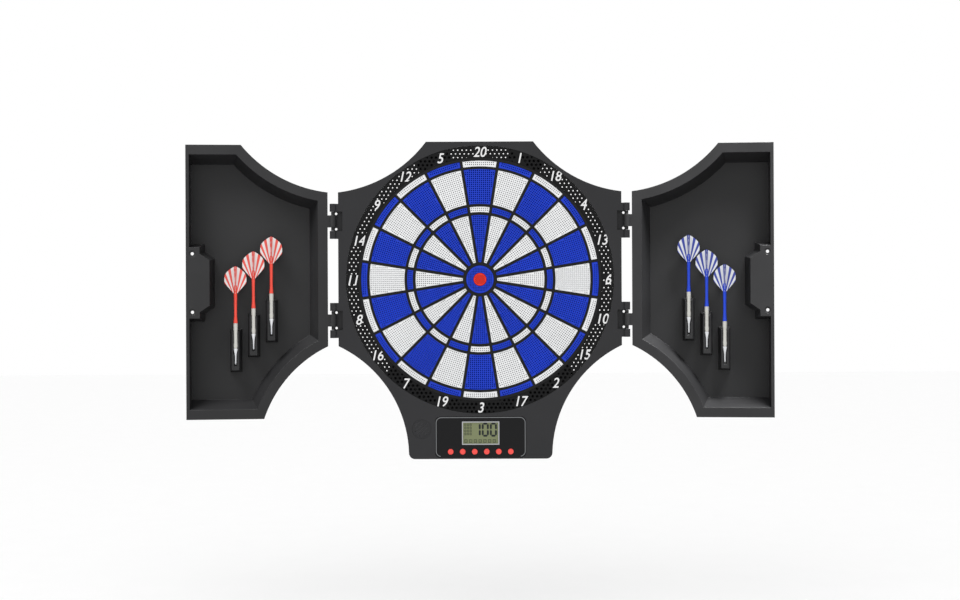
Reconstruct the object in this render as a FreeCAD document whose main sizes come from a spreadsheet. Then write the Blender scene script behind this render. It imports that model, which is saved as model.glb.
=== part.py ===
import FreeCAD, Part
import math
import os
import re
import Sketcher
from FreeCAD import Placement, Rotation, Vector

# Electronic dart board with cabinet doors, in millimetres.
# +Z is up and the front faces -Y. The origin is on the wall plane, straight behind the bull.
# Doors and darts are drawn in a door frame: x runs from the hinge axis to the free edge,
# y runs from the rim plane to the wall when the door is open, and z is up.

DRIVING = (
    ("board_half_width", 234.4, "half the width of the board"),
    ("board_top", 228.0, "top edge above the bull"),
    ("board_bottom", 297.0, "bottom edge below the bull"),
    ("board_depth", 45.0, "wall to front face"),
    ("upper_arc_x", 259.3, "concave upper corner, centre from the middle"),
    ("upper_arc_z", 358.1, "concave upper corner, centre above the bull"),
    ("upper_arc_radius", 214.6, "concave upper corner"),
    ("lower_arc_x", 321.6, "concave lower corner, centre from the middle"),
    ("lower_arc_z", 293.0, "concave lower corner, centre below the bull"),
    ("lower_arc_radius", 203.0, "concave lower corner"),
    ("foot_radius", 10.0, "bottom corners of the board"),
    ("wall_thick", 2.5, "moulded wall"),
    ("well_radius", 223.0, "inside of the round well"),
    ("well_opening", 221.9, "opening in the front face"),
    ("ring_inner", 201.5, "inside of the number ring"),
    ("ring_outer", 221.6, "visible outside of the number ring"),
    ("ring_flange", 222.7, "flange of the number ring behind the front face"),
    ("ring_front", 44.0, "front face of the number ring from the wall"),
    ("ring_back", 40.0, "back face of the number ring from the wall"),
    ("ledge_radius", 203.0, "ledge that holds the spider behind the ring"),
    ("ledge_front", 39.9, "front of the ledge from the wall"),
    ("ledge_back", 37.5, "back of the ledge from the wall"),
    ("spider_front", 45.0, "front of the spider from the wall"),
    ("spider_depth", 6.0, "depth of the spider bars"),
    ("spider_outer", 201.2, "outside of the spider rim"),
    ("skirt_inner", 198.0, "inside of the spider skirt"),
    ("bar_half", 2.25, "half the gap between two neighbouring segments"),
    ("bull_radius", 10.5, "inner bull"),
    ("bull_ring_inner", 11.3, "outer bull, inside"),
    ("bull_ring_outer", 22.9, "outer bull, outside"),
    ("inner_single_in", 28.4, "inner single, inside"),
    ("inner_single_out", 106.7, "inner single, outside"),
    ("triple_in", 111.3, "triple, inside"),
    ("triple_out", 120.6, "triple, outside"),
    ("outer_single_in", 124.9, "outer single, inside"),
    ("outer_single_out", 182.8, "outer single, outside"),
    ("double_in", 186.8, "double, inside"),
    ("double_out", 196.6, "double, outside"),
    ("segment_front", 44.3, "face of the segments from the wall"),
    ("segment_play", 0.25, "clearance round a segment"),
    ("flange_lip", 0.8, "width of a segment's retaining flange"),
    ("flange_front", 38.9, "front of the retaining flange from the wall"),
    ("flange_back", 36.9, "back of the retaining flange from the wall"),
    ("mat_front", 35.7, "front of the rubber mat from the wall"),
    ("mat_back", 33.2, "back of the rubber mat from the wall"),
    ("film_back", 32.6, "back of the sensor film from the wall"),
    ("plate_back", 28.6, "back of the backing plate from the wall"),
    ("plate_radius", 197.6, "backing plate"),
    ("press_ring_inner", 194.0, "inside of the rear cover's pressure ring"),
    ("press_ring_outer", 200.0, "outside of the rear cover's pressure ring"),
    ("post_distance", 212.0, "posts that hold the number ring, from the bull"),
    ("post_radius", 4.0, "posts that hold the number ring"),
    ("cable_half", 9.0, "half the width of the cable's passage"),
    ("cable_back", 23.5, "back of the cable's passage from the wall"),
    ("cable_front", 30.0, "front of the cable's passage from the wall"),
    ("hinge_x", 243.0, "hinge axis from the middle"),
    ("hinge_upper_z", 97.0, "centre of the upper hinges"),
    ("hinge_lower_z", -67.0, "centre of the lower hinges"),
    ("barrel_radius", 5.25, "hinge knuckles"),
    ("pin_radius", 2.0, "hinge pins"),
    ("pin_play", 0.05, "radial clearance of a door knuckle on its pin"),
    ("knuckle_reach", 29.0, "half the height of a hinge"),
    ("knuckle_inner", 16.0, "inner end of the board's knuckles"),
    ("door_knuckle_half", 10.0, "half the height of a door's knuckle"),
    ("door_neck_radius", 2.9, "slim ends of a door's knuckle"),
    ("hinge_plate_half", 20.0, "half the height of the plate behind a hinge"),
    ("hinge_plate_front", 37.0, "front of the plate behind a hinge from the wall"),
    ("hinge_plate_reach", 9.5, "plate behind a hinge, from the side of the board"),
    ("hinge_hole_radius", 2.1, "holes in the plate behind a hinge"),
    ("hinge_hole_z", 12.8, "holes in the plate from the middle of the hinge"),
    ("hinge_hole_x", 4.0, "holes in the plate from the side of the board"),
    ("door_open_angle", 6.0, "how far an open door stops short of flat, degrees"),
    ("door_gap", 0.4, "rim plane of a door from its hinge axis"),
    ("door_top", 223.0, "top edge of the doors above the bull"),
    ("door_bottom", 228.5, "bottom edge of the doors below the bull"),
    ("door_free_edge", 240.4, "hinge axis to the free edge"),
    ("door_rim", 16.0, "flat border of a door"),
    ("door_bevel_end", 30.0, "edge of a door to its floor"),
    ("door_flange", 3.0, "thickness of the flat border"),
    ("door_floor", 42.0, "depth of the floor below the hinge axis"),
    ("door_floor_back", 44.5, "outside of the floor below the hinge axis"),
    ("door_wall", 2.5, "sloping wall of a door"),
    ("free_wall", 5.5, "wall along the free edge"),
    ("grip_half", 58.3, "half the height of the grip plateau at the free edge"),
    ("grip_z", -4.0, "middle of the grip plateau"),
    ("grip_strip", 22.5, "width of the tall strip of the plateau"),
    ("grip_shoulder", 48.0, "half the height where the plateau narrows"),
    ("grip_nose", 37.0, "half the height of the plateau's inner end"),
    ("grip_reach", 38.5, "free edge to the plateau's inner end"),
    ("grip_draft", 6.0, "how far the plateau's walls slope out down to the floor"),
    ("pull_hole_pitch", 96.0, "pull handle holes, centre to centre"),
    ("pull_hole_radius", 2.65, "pull handle holes"),
    ("pull_hole_edge", 10.5, "pull handle holes from the free edge"),
    ("dart_first", 102.0, "hinge axis to the nearest dart"),
    ("dart_pitch", 29.5, "dart to dart along the door"),
    ("dart_step", 24.5, "each dart hangs this much lower than the last"),
    ("dart_tip_z", -90.0, "point of the nearest dart"),
    ("dart_axis_depth", 21.5, "dart axis below the hinge axis"),
    ("clip_width", 20.0, "dart clip"),
    ("clip_length", 72.0, "dart clip"),
    ("clip_below_tip", 14.0, "dart clip below the point of its dart"),
    ("clip_top_depth", 19.0, "top of a dart clip below the hinge axis"),
    ("clip_slot", 7.9, "slot of a dart clip for the barrel"),
    ("tip_slot", 4.8, "slot of a dart clip for the tip"),
    ("tip_slot_end", 17.0, "point of the dart to the end of the slot for the tip"),
    ("clip_draft", 4.0, "how far a clip's sides slope in"),
    ("tip_length", 26.0, "visible length of a dart tip"),
    ("barrel_length", 42.0, "dart barrel"),
    ("shaft_length", 60.0, "dart shaft, up to the end of its slots"),
    ("flight_start", 115.0, "point of the dart to the foot of its flight"),
    ("flight_length", 47.6, "dart flight"),
    ("flight_half", 18.3, "half the width of a flight"),
    ("flight_low", 19.0, "foot of a flight to its lower shoulders"),
    ("flight_high", 31.0, "foot of a flight to its upper shoulders"),
    ("flight_thick", 0.5, "thickness of a vane"),
    ("dart_radius", 3.8, "dart barrel"),
    ("tip_collar", 3.6, "collar of a dart tip"),
    ("shaft_foot", 3.35, "foot of a dart shaft"),
    ("shaft_waist", 2.5, "slim middle of a dart shaft"),
    ("shaft_radius", 2.7, "slotted end of a dart shaft"),
    ("thread_radius", 1.9, "threaded foot of a dart shaft"),
    ("panel_half", 75.0, "half the width of the control panel"),
    ("panel_top", -227.0, "top of the control panel"),
    ("panel_bottom", -295.0, "bottom of the control panel"),
    ("panel_thick", 1.5, "control panel"),
    ("panel_radius", 8.0, "corners of the control panel"),
    ("window_half", 69.0, "half the width of the opening behind the panel"),
    ("window_top", -231.5, "top of the opening behind the panel"),
    ("window_bottom", -293.0, "bottom of the opening behind the panel"),
    ("lcd_width", 61.8, "display bezel"),
    ("lcd_height", 38.5, "display bezel"),
    ("lcd_z", -254.4, "centre of the display"),
    ("lcd_border", 1.7, "visible width of the display bezel"),
    ("button_radius", 4.7, "push buttons"),
    ("button_pitch", 19.9, "push buttons, centre to centre"),
    ("button_z", -285.0, "push buttons"),
    ("button_front", 47.0, "face of the buttons from the wall"),
    ("board_front", 36.5, "front of the circuit board from the wall"),
    ("speaker_x", -97.5, "speaker"),
    ("speaker_z", -247.4, "speaker"),
    ("speaker_radius", 17.0, "speaker"),
    ("grille_radius", 16.0, "speaker grille recess"),
    ("cell_radius", 7.25, "battery cells"),
    ("cell_length", 50.5, "battery cells"),
    ("bay_x", 47.0, "middle of the battery bay"),
    ("bay_half", 29.5, "half the width of the battery bay"),
    ("bay_top", -243.0, "top of the battery bay"),
    ("bay_bottom", -291.0, "bottom of the battery bay"),
    ("bay_depth", 19.5, "inside of the battery bay from the wall"),
    ("window_in", 203.0, "arc windows of the rear cover, inside"),
    ("window_out", 222.5, "arc windows of the rear cover, outside"),
    ("top_window_angle", 13.0, "half the angle of the top window, degrees"),
    ("side_window_from", 29.5, "side windows, first angle from the top, degrees"),
    ("side_window_to", 134.5, "side windows, last angle from the top, degrees"),
    ("keyhole_half_pitch", 120.0, "half the distance between the wall keyholes"),
    ("keyhole_z", 100.0, "entry of the wall keyholes"),
    ("keyhole_radius", 5.0, "entry of a keyhole"),
    ("keyhole_slot", 2.5, "half the width of a keyhole's slot"),
    ("keyhole_rise", 10.0, "entry to the end of a keyhole's slot"),
    ("screw_radius", 1.5, "housing screws"),
    ("boss_radius", 4.0, "screw bosses"),
)
ALIASES = {row[0] for row in DRIVING}

# x and z of the ten screws that hold the rear cover, right half only
SCREW_PLACES = ((80.0, 221.0), (215.0, 127.0), (215.0, -96.0), (125.0, -212.0), (106.0, -283.0))
# angles from the top of the posts that hold the number ring, degrees
POST_ANGLES = (21.5, -21.5, 150, -150, 170, -170)
# x and z of the posts that carry the circuit board
BOARD_POSTS = [(x, z) for x in (74, -74) for z in (-238, -287)]

doc = FreeCAD.newDocument("dart_board_cabinet")
sheet = doc.addObject("Spreadsheet::Sheet", "dims")
for row, (alias, value, note) in enumerate(DRIVING, 1):
    sheet.set(f"A{row}", note)
    sheet.set(f"B{row}", str(value))
    sheet.setAlias(f"B{row}", alias)
doc.recompute()

pieces = []


def size(expression):
    """The value of an expression in the sheet's own aliases."""
    return float(sheet.evalExpression(str(expression)))


def bound(expression):
    """The same expression as other objects write it, with the sheet's name."""
    def prefix(word):
        return "dims." + word.group() if word.group() in ALIASES else word.group()
    return re.sub(r"[a-z_][a-z_0-9]*", prefix, str(expression))


def bind(item, name, expression):
    """Tie one property of an object to the sheet."""
    item.setExpression(name, bound(expression))


def body(label, placement=None):
    """A new body for one piece of the object."""
    made = doc.addObject("PartDesign::Body", label)
    made.Label = label
    if placement is not None:
        made.Placement = placement
    pieces.append(made)
    return made


def shape_piece(label, shape, placement=None):
    """A piece whose shape is computed from the sheet."""
    made = doc.addObject("Part::Feature", label)
    made.Label = label
    made.Shape = shape
    if placement is not None:
        made.Placement = placement
    pieces.append(made)
    return made


def origin_feature(owner, role):
    """One of a body's own origin planes or axes."""
    return next(item for item in owner.Origin.OriginFeatures if item.Role == role)


# Offset along a plane's normal: the XZ plane's normal points to -Y.
NORMAL_SIGN = {"XY_Plane": 1, "XZ_Plane": -1, "YZ_Plane": 1}


def sketch(owner, plane="XZ_Plane", at="0"):
    """An empty sketch on a body's origin plane, moved to a place along its axis."""
    made = owner.newObject("Sketcher::SketchObject", owner.Label + "_sketch")
    made.AttachmentSupport = [(origin_feature(owner, plane), "")]
    made.MapMode = "FlatFace"
    bind(made, "AttachmentOffset.Base.z", f"{NORMAL_SIGN[plane]} * ({at})")
    return made


def arc_through(start, end, radius, side):
    """A sketch arc from start to end whose centre lies left (1) or right (-1) of the way there."""
    chord = end - start
    half = chord.Length / 2
    height = math.sqrt(max(radius * radius - half * half, 0.0))
    left = Vector(-chord.y, chord.x, 0).normalize()
    centre = (start + end) / 2 + left * (side * height)
    first, last = (start, end) if side > 0 else (end, start)
    angles = [math.atan2(point.y - centre.y, point.x - centre.x) for point in (first, last)]
    if angles[1] < angles[0]:
        angles[1] += 2 * math.pi
    return Part.ArcOfCircle(Part.Circle(centre, Vector(0, 0, 1), radius), *angles)


def outline(target, points):
    """A closed outline of (x, z) points, with a radius and side where the next edge is an arc."""
    corners = [Vector(size(p[0]), size(p[1]), 0) for p in points]
    first = target.GeometryCount
    starts, ends = [], []
    for i, point in enumerate(points):
        start, end = corners[i], corners[(i + 1) % len(points)]
        if len(point) == 2:
            target.addGeometry(Part.LineSegment(start, end), False)
            flipped = False
        else:
            target.addGeometry(arc_through(start, end, size(point[2]), point[3]), False)
            flipped = point[3] < 0
        starts.append(2 if flipped else 1)
        ends.append(1 if flipped else 2)
    count = len(points)
    for i, point in enumerate(points):
        edge, after = first + i, first + (i + 1) % count
        start = starts[(i + 1) % count]
        target.addConstraint(Sketcher.Constraint("Coincident", edge, ends[i], after, start))
        for kind, value in (("DistanceX", point[0]), ("DistanceY", point[1])):
            rule = Sketcher.Constraint(kind, -1, 1, edge, starts[i], size(value))
            number = target.addConstraint(rule)
            target.setExpression(f"Constraints[{number}]", bound(value))
        if len(point) > 2:
            number = target.addConstraint(Sketcher.Constraint("Radius", edge, size(point[2])))
            target.setExpression(f"Constraints[{number}]", bound(point[2]))


def rectangle(target, x_from, x_to, z_from, z_to):
    """A closed rectangle."""
    outline(target, [(x_from, z_from), (x_from, z_to), (x_to, z_to), (x_to, z_from)])


def circle(target, x, z, radius):
    """A full circle."""
    edge = target.GeometryCount
    centre = Vector(size(x), size(z), 0)
    target.addGeometry(Part.Circle(centre, Vector(0, 0, 1), size(radius)), False)
    middle = (-1, 1, edge, 3)
    rules = (("DistanceX", middle, x), ("DistanceY", middle, z), ("Radius", (edge,), radius))
    for kind, where, value in rules:
        number = target.addConstraint(Sketcher.Constraint(kind, *where, size(value)))
        target.setExpression(f"Constraints[{number}]", bound(value))


def extrude(owner, kind, profile, length, backward=False):
    """A Pad or a Pocket. Forward is along the sketch's normal for a Pad and against it for a Pocket."""
    made = owner.newObject("PartDesign::" + kind, f"{owner.Label}_{kind.lower()}")
    made.Profile = profile
    made.Reversed = backward
    bind(made, "Length", length)
    return made


def slab(owner, draw, front, back):
    """Add material between two places along -Y, given as distances in front of the body's origin."""
    profile = sketch(owner, "XZ_Plane", f"-({front})")
    draw(profile)
    return extrude(owner, "Pad", profile, f"({front}) - ({back})", backward=True)


def cut(owner, draw, front, back):
    """Remove material between two places along -Y. The result has to be smaller."""
    doc.recompute()
    before = owner.Shape.Volume
    profile = sketch(owner, "XZ_Plane", f"-({front})")
    draw(profile)
    made = extrude(owner, "Pocket", profile, f"({front}) - ({back})")
    doc.recompute()
    if not owner.Shape.Volume < before - 1e-6:
        raise RuntimeError("a pocket cuts nothing in " + owner.Label)
    return made


def upright(owner, draw, low, high, kind="Pad"):
    """Add or remove material between two heights, from a sketch seen from above."""
    profile = sketch(owner, "XY_Plane", low if kind == "Pad" else high)
    draw(profile)
    return extrude(owner, kind, profile, f"({high}) - ({low})")


def turned(owner, points, axis="V_Axis"):
    """A solid of revolution about the sketch's vertical or horizontal axis."""
    profile = sketch(owner, "XZ_Plane")
    outline(profile, points)
    made = owner.newObject("PartDesign::Revolution", owner.Label + "_turn")
    made.Profile = profile
    made.ReferenceAxis = (profile, [axis])
    made.Angle = 360
    return made


def loft(owner, kind, lower, upper, lower_at, upper_at):
    """A ruled loft, added or removed, between two outlines at two depths."""
    sections = []
    for points, place in ((lower, lower_at), (upper, upper_at)):
        profile = sketch(owner, "XZ_Plane", place)
        outline(profile, points)
        sections.append(profile)
    made = owner.newObject("PartDesign::" + kind, f"{owner.Label}_{kind.lower()}")
    made.Profile = sections[0]
    made.Sections = [sections[1]]
    made.Ruled = True
    return made


# --- outlines ---------------------------------------------------------------

def upper_arc_at(inset, height):
    """x of the upper concave corner at a height above the bull, for an outline moved in by inset."""
    return f"(upper_arc_x - sqrt((upper_arc_radius + {inset})^2 - (upper_arc_z - {height})^2))"


def shoulder_z(inset):
    """Where the upper concave corner meets the straight side."""
    run = f"(upper_arc_x - board_half_width + {inset})"
    return f"(upper_arc_z - sqrt((upper_arc_radius + {inset})^2 - {run}^2))"


def lower_shoulder_z(inset):
    """Where the straight side meets the lower concave corner."""
    run = f"(lower_arc_x - board_half_width + {inset})"
    return f"(sqrt((lower_arc_radius + {inset})^2 - {run}^2) - lower_arc_z)"


def lower_arc_at(inset, depth):
    """x of the lower concave corner at a depth below the bull."""
    return f"(lower_arc_x - sqrt((lower_arc_radius + {inset})^2 - (lower_arc_z - {depth})^2))"


def board_outline(inset):
    """The board's octagon with concave corners, clockwise, moved in by inset."""
    top, side = f"board_top - {inset}", f"(board_half_width - {inset})"
    corner = upper_arc_at(inset, f"(board_top - {inset})")
    shoulder, low = shoulder_z(inset), lower_shoulder_z(inset)
    foot = lower_arc_at(inset, "(board_bottom - foot_radius)")
    foot_z, toe = "foot_radius - board_bottom", f"({foot} - foot_radius + {inset})"
    upper, lower = f"upper_arc_radius + {inset}", f"lower_arc_radius + {inset}"
    round_foot = f"foot_radius - {inset}"
    return [
        (f"-{corner}", top), (corner, top, upper, 1),
        (side, shoulder), (side, low, lower, 1),
        (foot, foot_z, round_foot, -1), (toe, f"{inset} - board_bottom"),
        (f"-{toe}", f"{inset} - board_bottom", round_foot, -1), (f"-{foot}", foot_z, lower, 1),
        (f"-{side}", low), (f"-{side}", shoulder, upper, 1),
    ]


def door_outline(hand, inset, free_edge):
    """A door's outline from hinge side to free edge, moved in by inset. hand is 1 right, -1 left."""
    def across(x):
        return f"{hand} * ({x})"
    top, bottom = f"door_top - {inset}", f"{inset} - door_bottom"
    near = across(f"hinge_x - board_half_width + {inset}")
    top_x = across("hinge_x - " + upper_arc_at(inset, f"(door_top - {inset})"))
    low_x = across("hinge_x - " + lower_arc_at(inset, f"(door_bottom - {inset})"))
    return [
        (top_x, top), (across(free_edge), top), (across(free_edge), bottom),
        (low_x, bottom, f"lower_arc_radius + {inset}", hand), (near, lower_shoulder_z(inset)),
        (near, shoulder_z(inset), f"upper_arc_radius + {inset}", hand),
    ]


def both_sides(x):
    """The same place on the right and on the left."""
    return (f"({x})", f"-({x})")


# --- the board --------------------------------------------------------------

def screw_sites():
    """x and z of every housing screw."""
    return [(side * x, z) for x, z in SCREW_PLACES for side in (1, -1)]


def ring_between(target, inner, outer):
    """Two circles about the bull."""
    circle(target, "0", "0", outer)
    circle(target, "0", "0", inner)


def every(draw, places):
    """A sketch that repeats one closed outline at several places."""
    def drawn(target):
        for place in places:
            draw(target, *place)
    return drawn


def front_housing():
    """Front shell: face, side walls, round well, screw bosses, hinge blocks and knuckles."""
    made = body("front_housing")
    slab(made, lambda s: outline(s, board_outline("0")), "board_depth", "wall_thick")
    cut(made, lambda s: outline(s, board_outline("wall_thick")),
        "board_depth - wall_thick", "wall_thick - 1")
    slab(made, lambda s: ring_between(s, "well_radius", "well_radius + 2"), "board_depth - 1", "wall_thick")
    cut(made, lambda s: circle(s, "0", "0", "well_opening"),
        "board_depth + 1", "board_depth - wall_thick - 1")
    bosses = [(x, z, "boss_radius") for x, z in screw_sites()]
    pilots = [(x, z, "screw_radius - 0.2") for x, z in screw_sites()]
    slab(made, every(circle, bosses), "board_depth - 1", "wall_thick")
    cut(made, every(circle, pilots), "wall_thick + 11", "wall_thick - 1")
    add_hinge_knuckles(made)
    add_console_openings(made)
    cut(made, lambda s: rectangle(s, "-cable_half", "cable_half", "-well_radius - 3", "3 - well_radius"),
        "cable_front", "cable_back")


def add_hinge_knuckles(made):
    """Blocks, pockets and the fixed knuckles of the four hinges."""
    sides = (("board_half_width", "hinge_x", "1"), ("-board_half_width", "-hinge_x", "-1"))
    middles = ("hinge_upper_z", "hinge_lower_z")
    blocks, pockets = [], []
    for edge, _, sign in sides:
        for z in middles:
            blocks.append((f"{edge} - {sign} * 9.5", f"{edge} - {sign}", f"{z} - 18", f"{z} + 18"))
            pockets.append((f"{edge} - {sign} * 7", f"{edge} + {sign}", f"{z} - knuckle_inner",
                            f"{z} + knuckle_inner"))
    slab(made, every(rectangle, blocks), "board_depth - 1", "board_depth - 12")
    cut(made, every(rectangle, pockets), "board_depth + 1", "board_depth - 8")
    arms = [(f"{edge} - {sign}", axis, "-board_depth", "barrel_radius - board_depth")
            for edge, axis, sign in sides]
    barrels = [(axis, "-board_depth", "barrel_radius") for _, axis, _ in sides]
    bores = [(axis, "-board_depth", "pin_radius") for _, axis, _ in sides]
    for z in middles:
        for low, high in ((f"{z} + knuckle_inner", f"{z} + knuckle_reach"),
                          (f"{z} - knuckle_reach", f"{z} - knuckle_inner")):
            upright(made, every(rectangle, arms), low, high)
            upright(made, every(circle, barrels), low, high)
            upright(made, every(circle, bores), f"{low} - 0.01", f"{high} + 0.01", "Pocket")
    add_hinge_plates(made, sides, middles)


def add_hinge_plates(made, sides, middles):
    """A plate behind each hinge that closes the gap beside the board, with two small holes."""
    plates, holes = [], []
    for edge, _, sign in sides:
        for z in middles:
            plates.append((f"{edge} - {sign}", f"{edge} + {sign} * hinge_plate_reach",
                           f"{z} - hinge_plate_half", f"{z} + hinge_plate_half"))
            for up in (f"{z} + hinge_hole_z", f"{z} - hinge_hole_z"):
                holes.append((f"{edge} + {sign} * hinge_hole_x", up, "hinge_hole_radius"))
    slab(made, every(rectangle, plates), "hinge_plate_front", "hinge_plate_front - wall_thick")
    cut(made, every(circle, holes), "hinge_plate_front", "hinge_plate_front - wall_thick - 1")


def add_console_openings(made):
    """Recess and window for the control panel, grille for the speaker, posts for the circuit board."""
    def panel_recess(s):
        rounded_rectangle(s, "panel_half + 0.2", "panel_bottom - 0.2", "panel_top + 0.2", "panel_radius")
    cut(made, panel_recess, "board_depth + 1", "board_depth - panel_thick")
    cut(made, lambda s: rectangle(s, "-window_half", "window_half", "window_bottom", "window_top"),
        "board_depth", "board_depth - wall_thick - 1")
    cut(made, lambda s: circle(s, "speaker_x", "speaker_z", "grille_radius"),
        "board_depth + 1", "board_depth - 1")
    slots = ((-10.5, 6.5), (-5.25, 10.5), (0.0, 13.0), (5.25, 10.5), (10.5, 6.5))
    cut(made, every(diagonal_slot, slots), "board_depth", "board_depth - wall_thick - 1")
    for radius, front, back in (("3", "board_depth - wall_thick + 0.5", "board_front"),
                                ("1.2", "board_front + 0.5", "board_front - 2.4")):
        slab(made, every(circle, [(x, z, radius) for x, z in BOARD_POSTS]), front, back)


def rounded_rectangle(target, half, low, high, radius):
    """A rectangle about the middle plane with rounded corners, clockwise."""
    points = []
    for x_sign, z_side in ((-1, low), (-1, high), (1, high), (1, low)):
        z_sign = -1 if z_side == low else 1
        on_side = (f"{x_sign} * ({half})", f"{z_side} - {z_sign} * ({radius})")
        on_flat = (f"{x_sign} * ({half} - ({radius}))", z_side)
        first, second = (on_flat, on_side) if (x_sign * z_sign) > 0 else (on_side, on_flat)
        points += [(*first, radius, -1), second]
    outline(target, points)


def diagonal_slot(target, offset, half):
    """A straight slot of the speaker grille, leaning 45 degrees."""
    lean, width = math.sqrt(0.5), 1.1
    corners = []
    for along, across in ((-half, -width), (-half, width), (half, width), (half, -width)):
        x = (along - across - offset) * lean
        z = (along + across + offset) * lean
        corners.append((f"speaker_x + {x:.4f}", f"speaker_z + {z:.4f}"))
    outline(target, corners)


def arc_window(target, first, last):
    """A window between two radii and two angles in degrees, counted clockwise from the top."""
    def place(radius, angle):
        return (f"{radius} * sin({angle})", f"{radius} * cos({angle})")
    start_in, end_in = (place("window_in", angle) for angle in (first, last))
    start_out, end_out = (place("window_out", angle) for angle in (first, last))
    outline(target, [(*start_out, "window_out", -1), end_out, (*end_in, "window_in", 1), start_in])


def rear_cover():
    """Flat back with arc windows, wall keyholes, pressure ring, ring posts and battery bay."""
    made = body("rear_cover")
    slab(made, lambda s: outline(s, board_outline("0")), "wall_thick", "0")
    slab(made, lambda s: ring_between(s, "press_ring_inner", "press_ring_outer"), "plate_back",
         "wall_thick - 0.5")
    posts = [(f"post_distance * sin({angle})", f"post_distance * cos({angle})", "post_radius")
             for angle in POST_ANGLES]
    slab(made, every(circle, posts), "ring_back", "wall_thick - 0.5")
    windows = (("-top_window_angle", "top_window_angle"), ("side_window_from", "side_window_to"),
               ("-side_window_to", "-side_window_from"))
    cut(made, every(arc_window, windows), "wall_thick", "-1")
    add_keyholes(made)
    holes = [(x, z, "screw_radius + 0.1") for x, z in screw_sites()]
    heads = [(x, z, "3.2") for x, z in screw_sites()]
    cut(made, every(circle, holes), "wall_thick", "-1")
    cut(made, every(circle, heads), "1.6", "-1")
    cut(made, lambda s: rectangle(s, "-cable_half", "cable_half", "-press_ring_outer - 1",
                                  "5 - press_ring_inner"), "plate_back + 1", "cable_back")
    add_battery_bay(made)


def add_keyholes(made):
    """A round entry with a narrow slot above it on each side."""
    middles = both_sides("keyhole_half_pitch")
    end = "keyhole_z + keyhole_rise"
    cut(made, every(circle, [(x, "keyhole_z", "keyhole_radius") for x in middles]), "wall_thick", "-1")
    slots = [(f"{x} - keyhole_slot", f"{x} + keyhole_slot", "keyhole_z", end) for x in middles]
    cut(made, every(rectangle, slots), "wall_thick", "-1")
    cut(made, every(circle, [(x, end, "keyhole_slot") for x in middles]), "wall_thick", "-1")


def add_battery_bay(made):
    """Walled bay for the cells, open to the back, with a track for its cover."""
    def outside(s):
        rectangle(s, "bay_x - bay_half - 4.5", "bay_x + bay_half + 4.5", "bay_bottom - 3", "bay_top + 4")

    def inside(s):
        rectangle(s, "bay_x - bay_half", "bay_x + bay_half", "bay_bottom", "bay_top")

    def track(s):
        rectangle(s, "bay_x - bay_half - 2", "bay_x + bay_half + 2", "-board_bottom - 1", "bay_top + 1")

    def mouth(s):
        rectangle(s, "bay_x - bay_half", "bay_x + bay_half", "-board_bottom - 1", "bay_top + 1")
    slab(made, outside, "bay_depth + 2", "wall_thick - 0.5")
    cut(made, inside, "bay_depth", "wall_thick - 0.1")
    cut(made, track, "wall_thick", "1.2")
    cut(made, mouth, "1.3", "-1")


def number_ring():
    """Flat ring that carries the numbers, with a flange behind the front face."""
    made = body("number_ring")
    slab(made, lambda s: ring_between(s, "ring_inner", "ring_outer"), "ring_front", "ring_back")
    slab(made, lambda s: ring_between(s, "ring_outer - 1", "ring_flange"), "board_depth - wall_thick - 0.1",
         "ring_back")
    return made


def sector_face(r_in, r_out, middle, gap, depth):
    """One segment's face in front of the wall. Its sides keep a constant gap to the bars' centre lines."""
    half = math.radians(9)
    inner = half - math.asin(gap / r_in)
    outer = half - math.asin(gap / r_out)

    def point(radius, angle):
        return Vector(radius * math.sin(angle), -depth, radius * math.cos(angle))
    a, b = point(r_in, middle - inner), point(r_out, middle - outer)
    c, d = point(r_out, middle + outer), point(r_in, middle + inner)
    edges = [
        Part.LineSegment(a, b).toShape(), Part.Arc(b, point(r_out, middle), c).toShape(),
        Part.LineSegment(c, d).toShape(), Part.Arc(d, point(r_in, middle), a).toShape(),
    ]
    return Part.Face(Part.Wire(edges))


def tube(r_in, r_out, front, back):
    """A ring or disc about the bull, between two distances in front of the wall."""
    def disc(radius):
        return Part.makeCylinder(radius, front - back, Vector(0, -front, 0), Vector(0, 1, 0))
    return disc(r_out).cut(disc(r_in)) if r_in else disc(r_out)


RING_NAMES = ("double", "outer_single", "triple", "inner_single")
SECTOR_RINGS = {ring: (f"{ring}_in", f"{ring}_out") for ring in RING_NAMES}


def segment_solid(r_in, r_out, middle, gap):
    """A segment: its body between the bars and its wider flange behind them."""
    front, flange, back = size("segment_front"), size("flange_front"), size("flange_back")
    lip = size("flange_lip")
    stem = sector_face(r_in, r_out, middle, gap, front).extrude(Vector(0, front - flange, 0))
    foot = sector_face(r_in - lip, r_out + lip, middle, gap - lip, flange)
    foot = foot.extrude(Vector(0, flange - back, 0))
    return stem.fuse(foot).removeSplitter()


def segment_group(ring, colour):
    """Every segment of one ring and one colour: ten separate solids."""
    r_in, r_out = (size(name) for name in SECTOR_RINGS[ring])
    blue_first = ring.endswith("single")
    start = 0 if (colour == "blue") == blue_first else 1
    solids = [segment_solid(r_in, r_out, math.radians(18 * k), size("bar_half"))
              for k in range(start, 20, 2)]
    return shape_piece(f"{ring}_{colour}", Part.makeCompound(solids))


def bull_piece(label, layers):
    """A round bull segment from rings stacked front to back."""
    rings = [tube(*layer) for layer in layers]
    return shape_piece(label, rings[0].multiFuse(rings[1:]).removeSplitter())


def segments():
    """All 82 scoring segments."""
    for ring in SECTOR_RINGS:
        for colour in ("blue", "white"):
            segment_group(ring, colour)
    front, flange, back = size("segment_front"), size("flange_front"), size("flange_back")
    inside, outside, lip = size("bull_ring_inner"), size("bull_ring_outer"), size("flange_lip")
    step = flange + 1.2
    bull_piece("bull_outer", ((inside, outside, front, step), (inside + 2, outside, step, flange),
                              (inside + 2, outside + lip, flange, back)))
    button = size("bull_radius")
    bull_piece("bull_inner", ((0, button, front, flange), (0, inside + 1, flange, back)))


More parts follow.
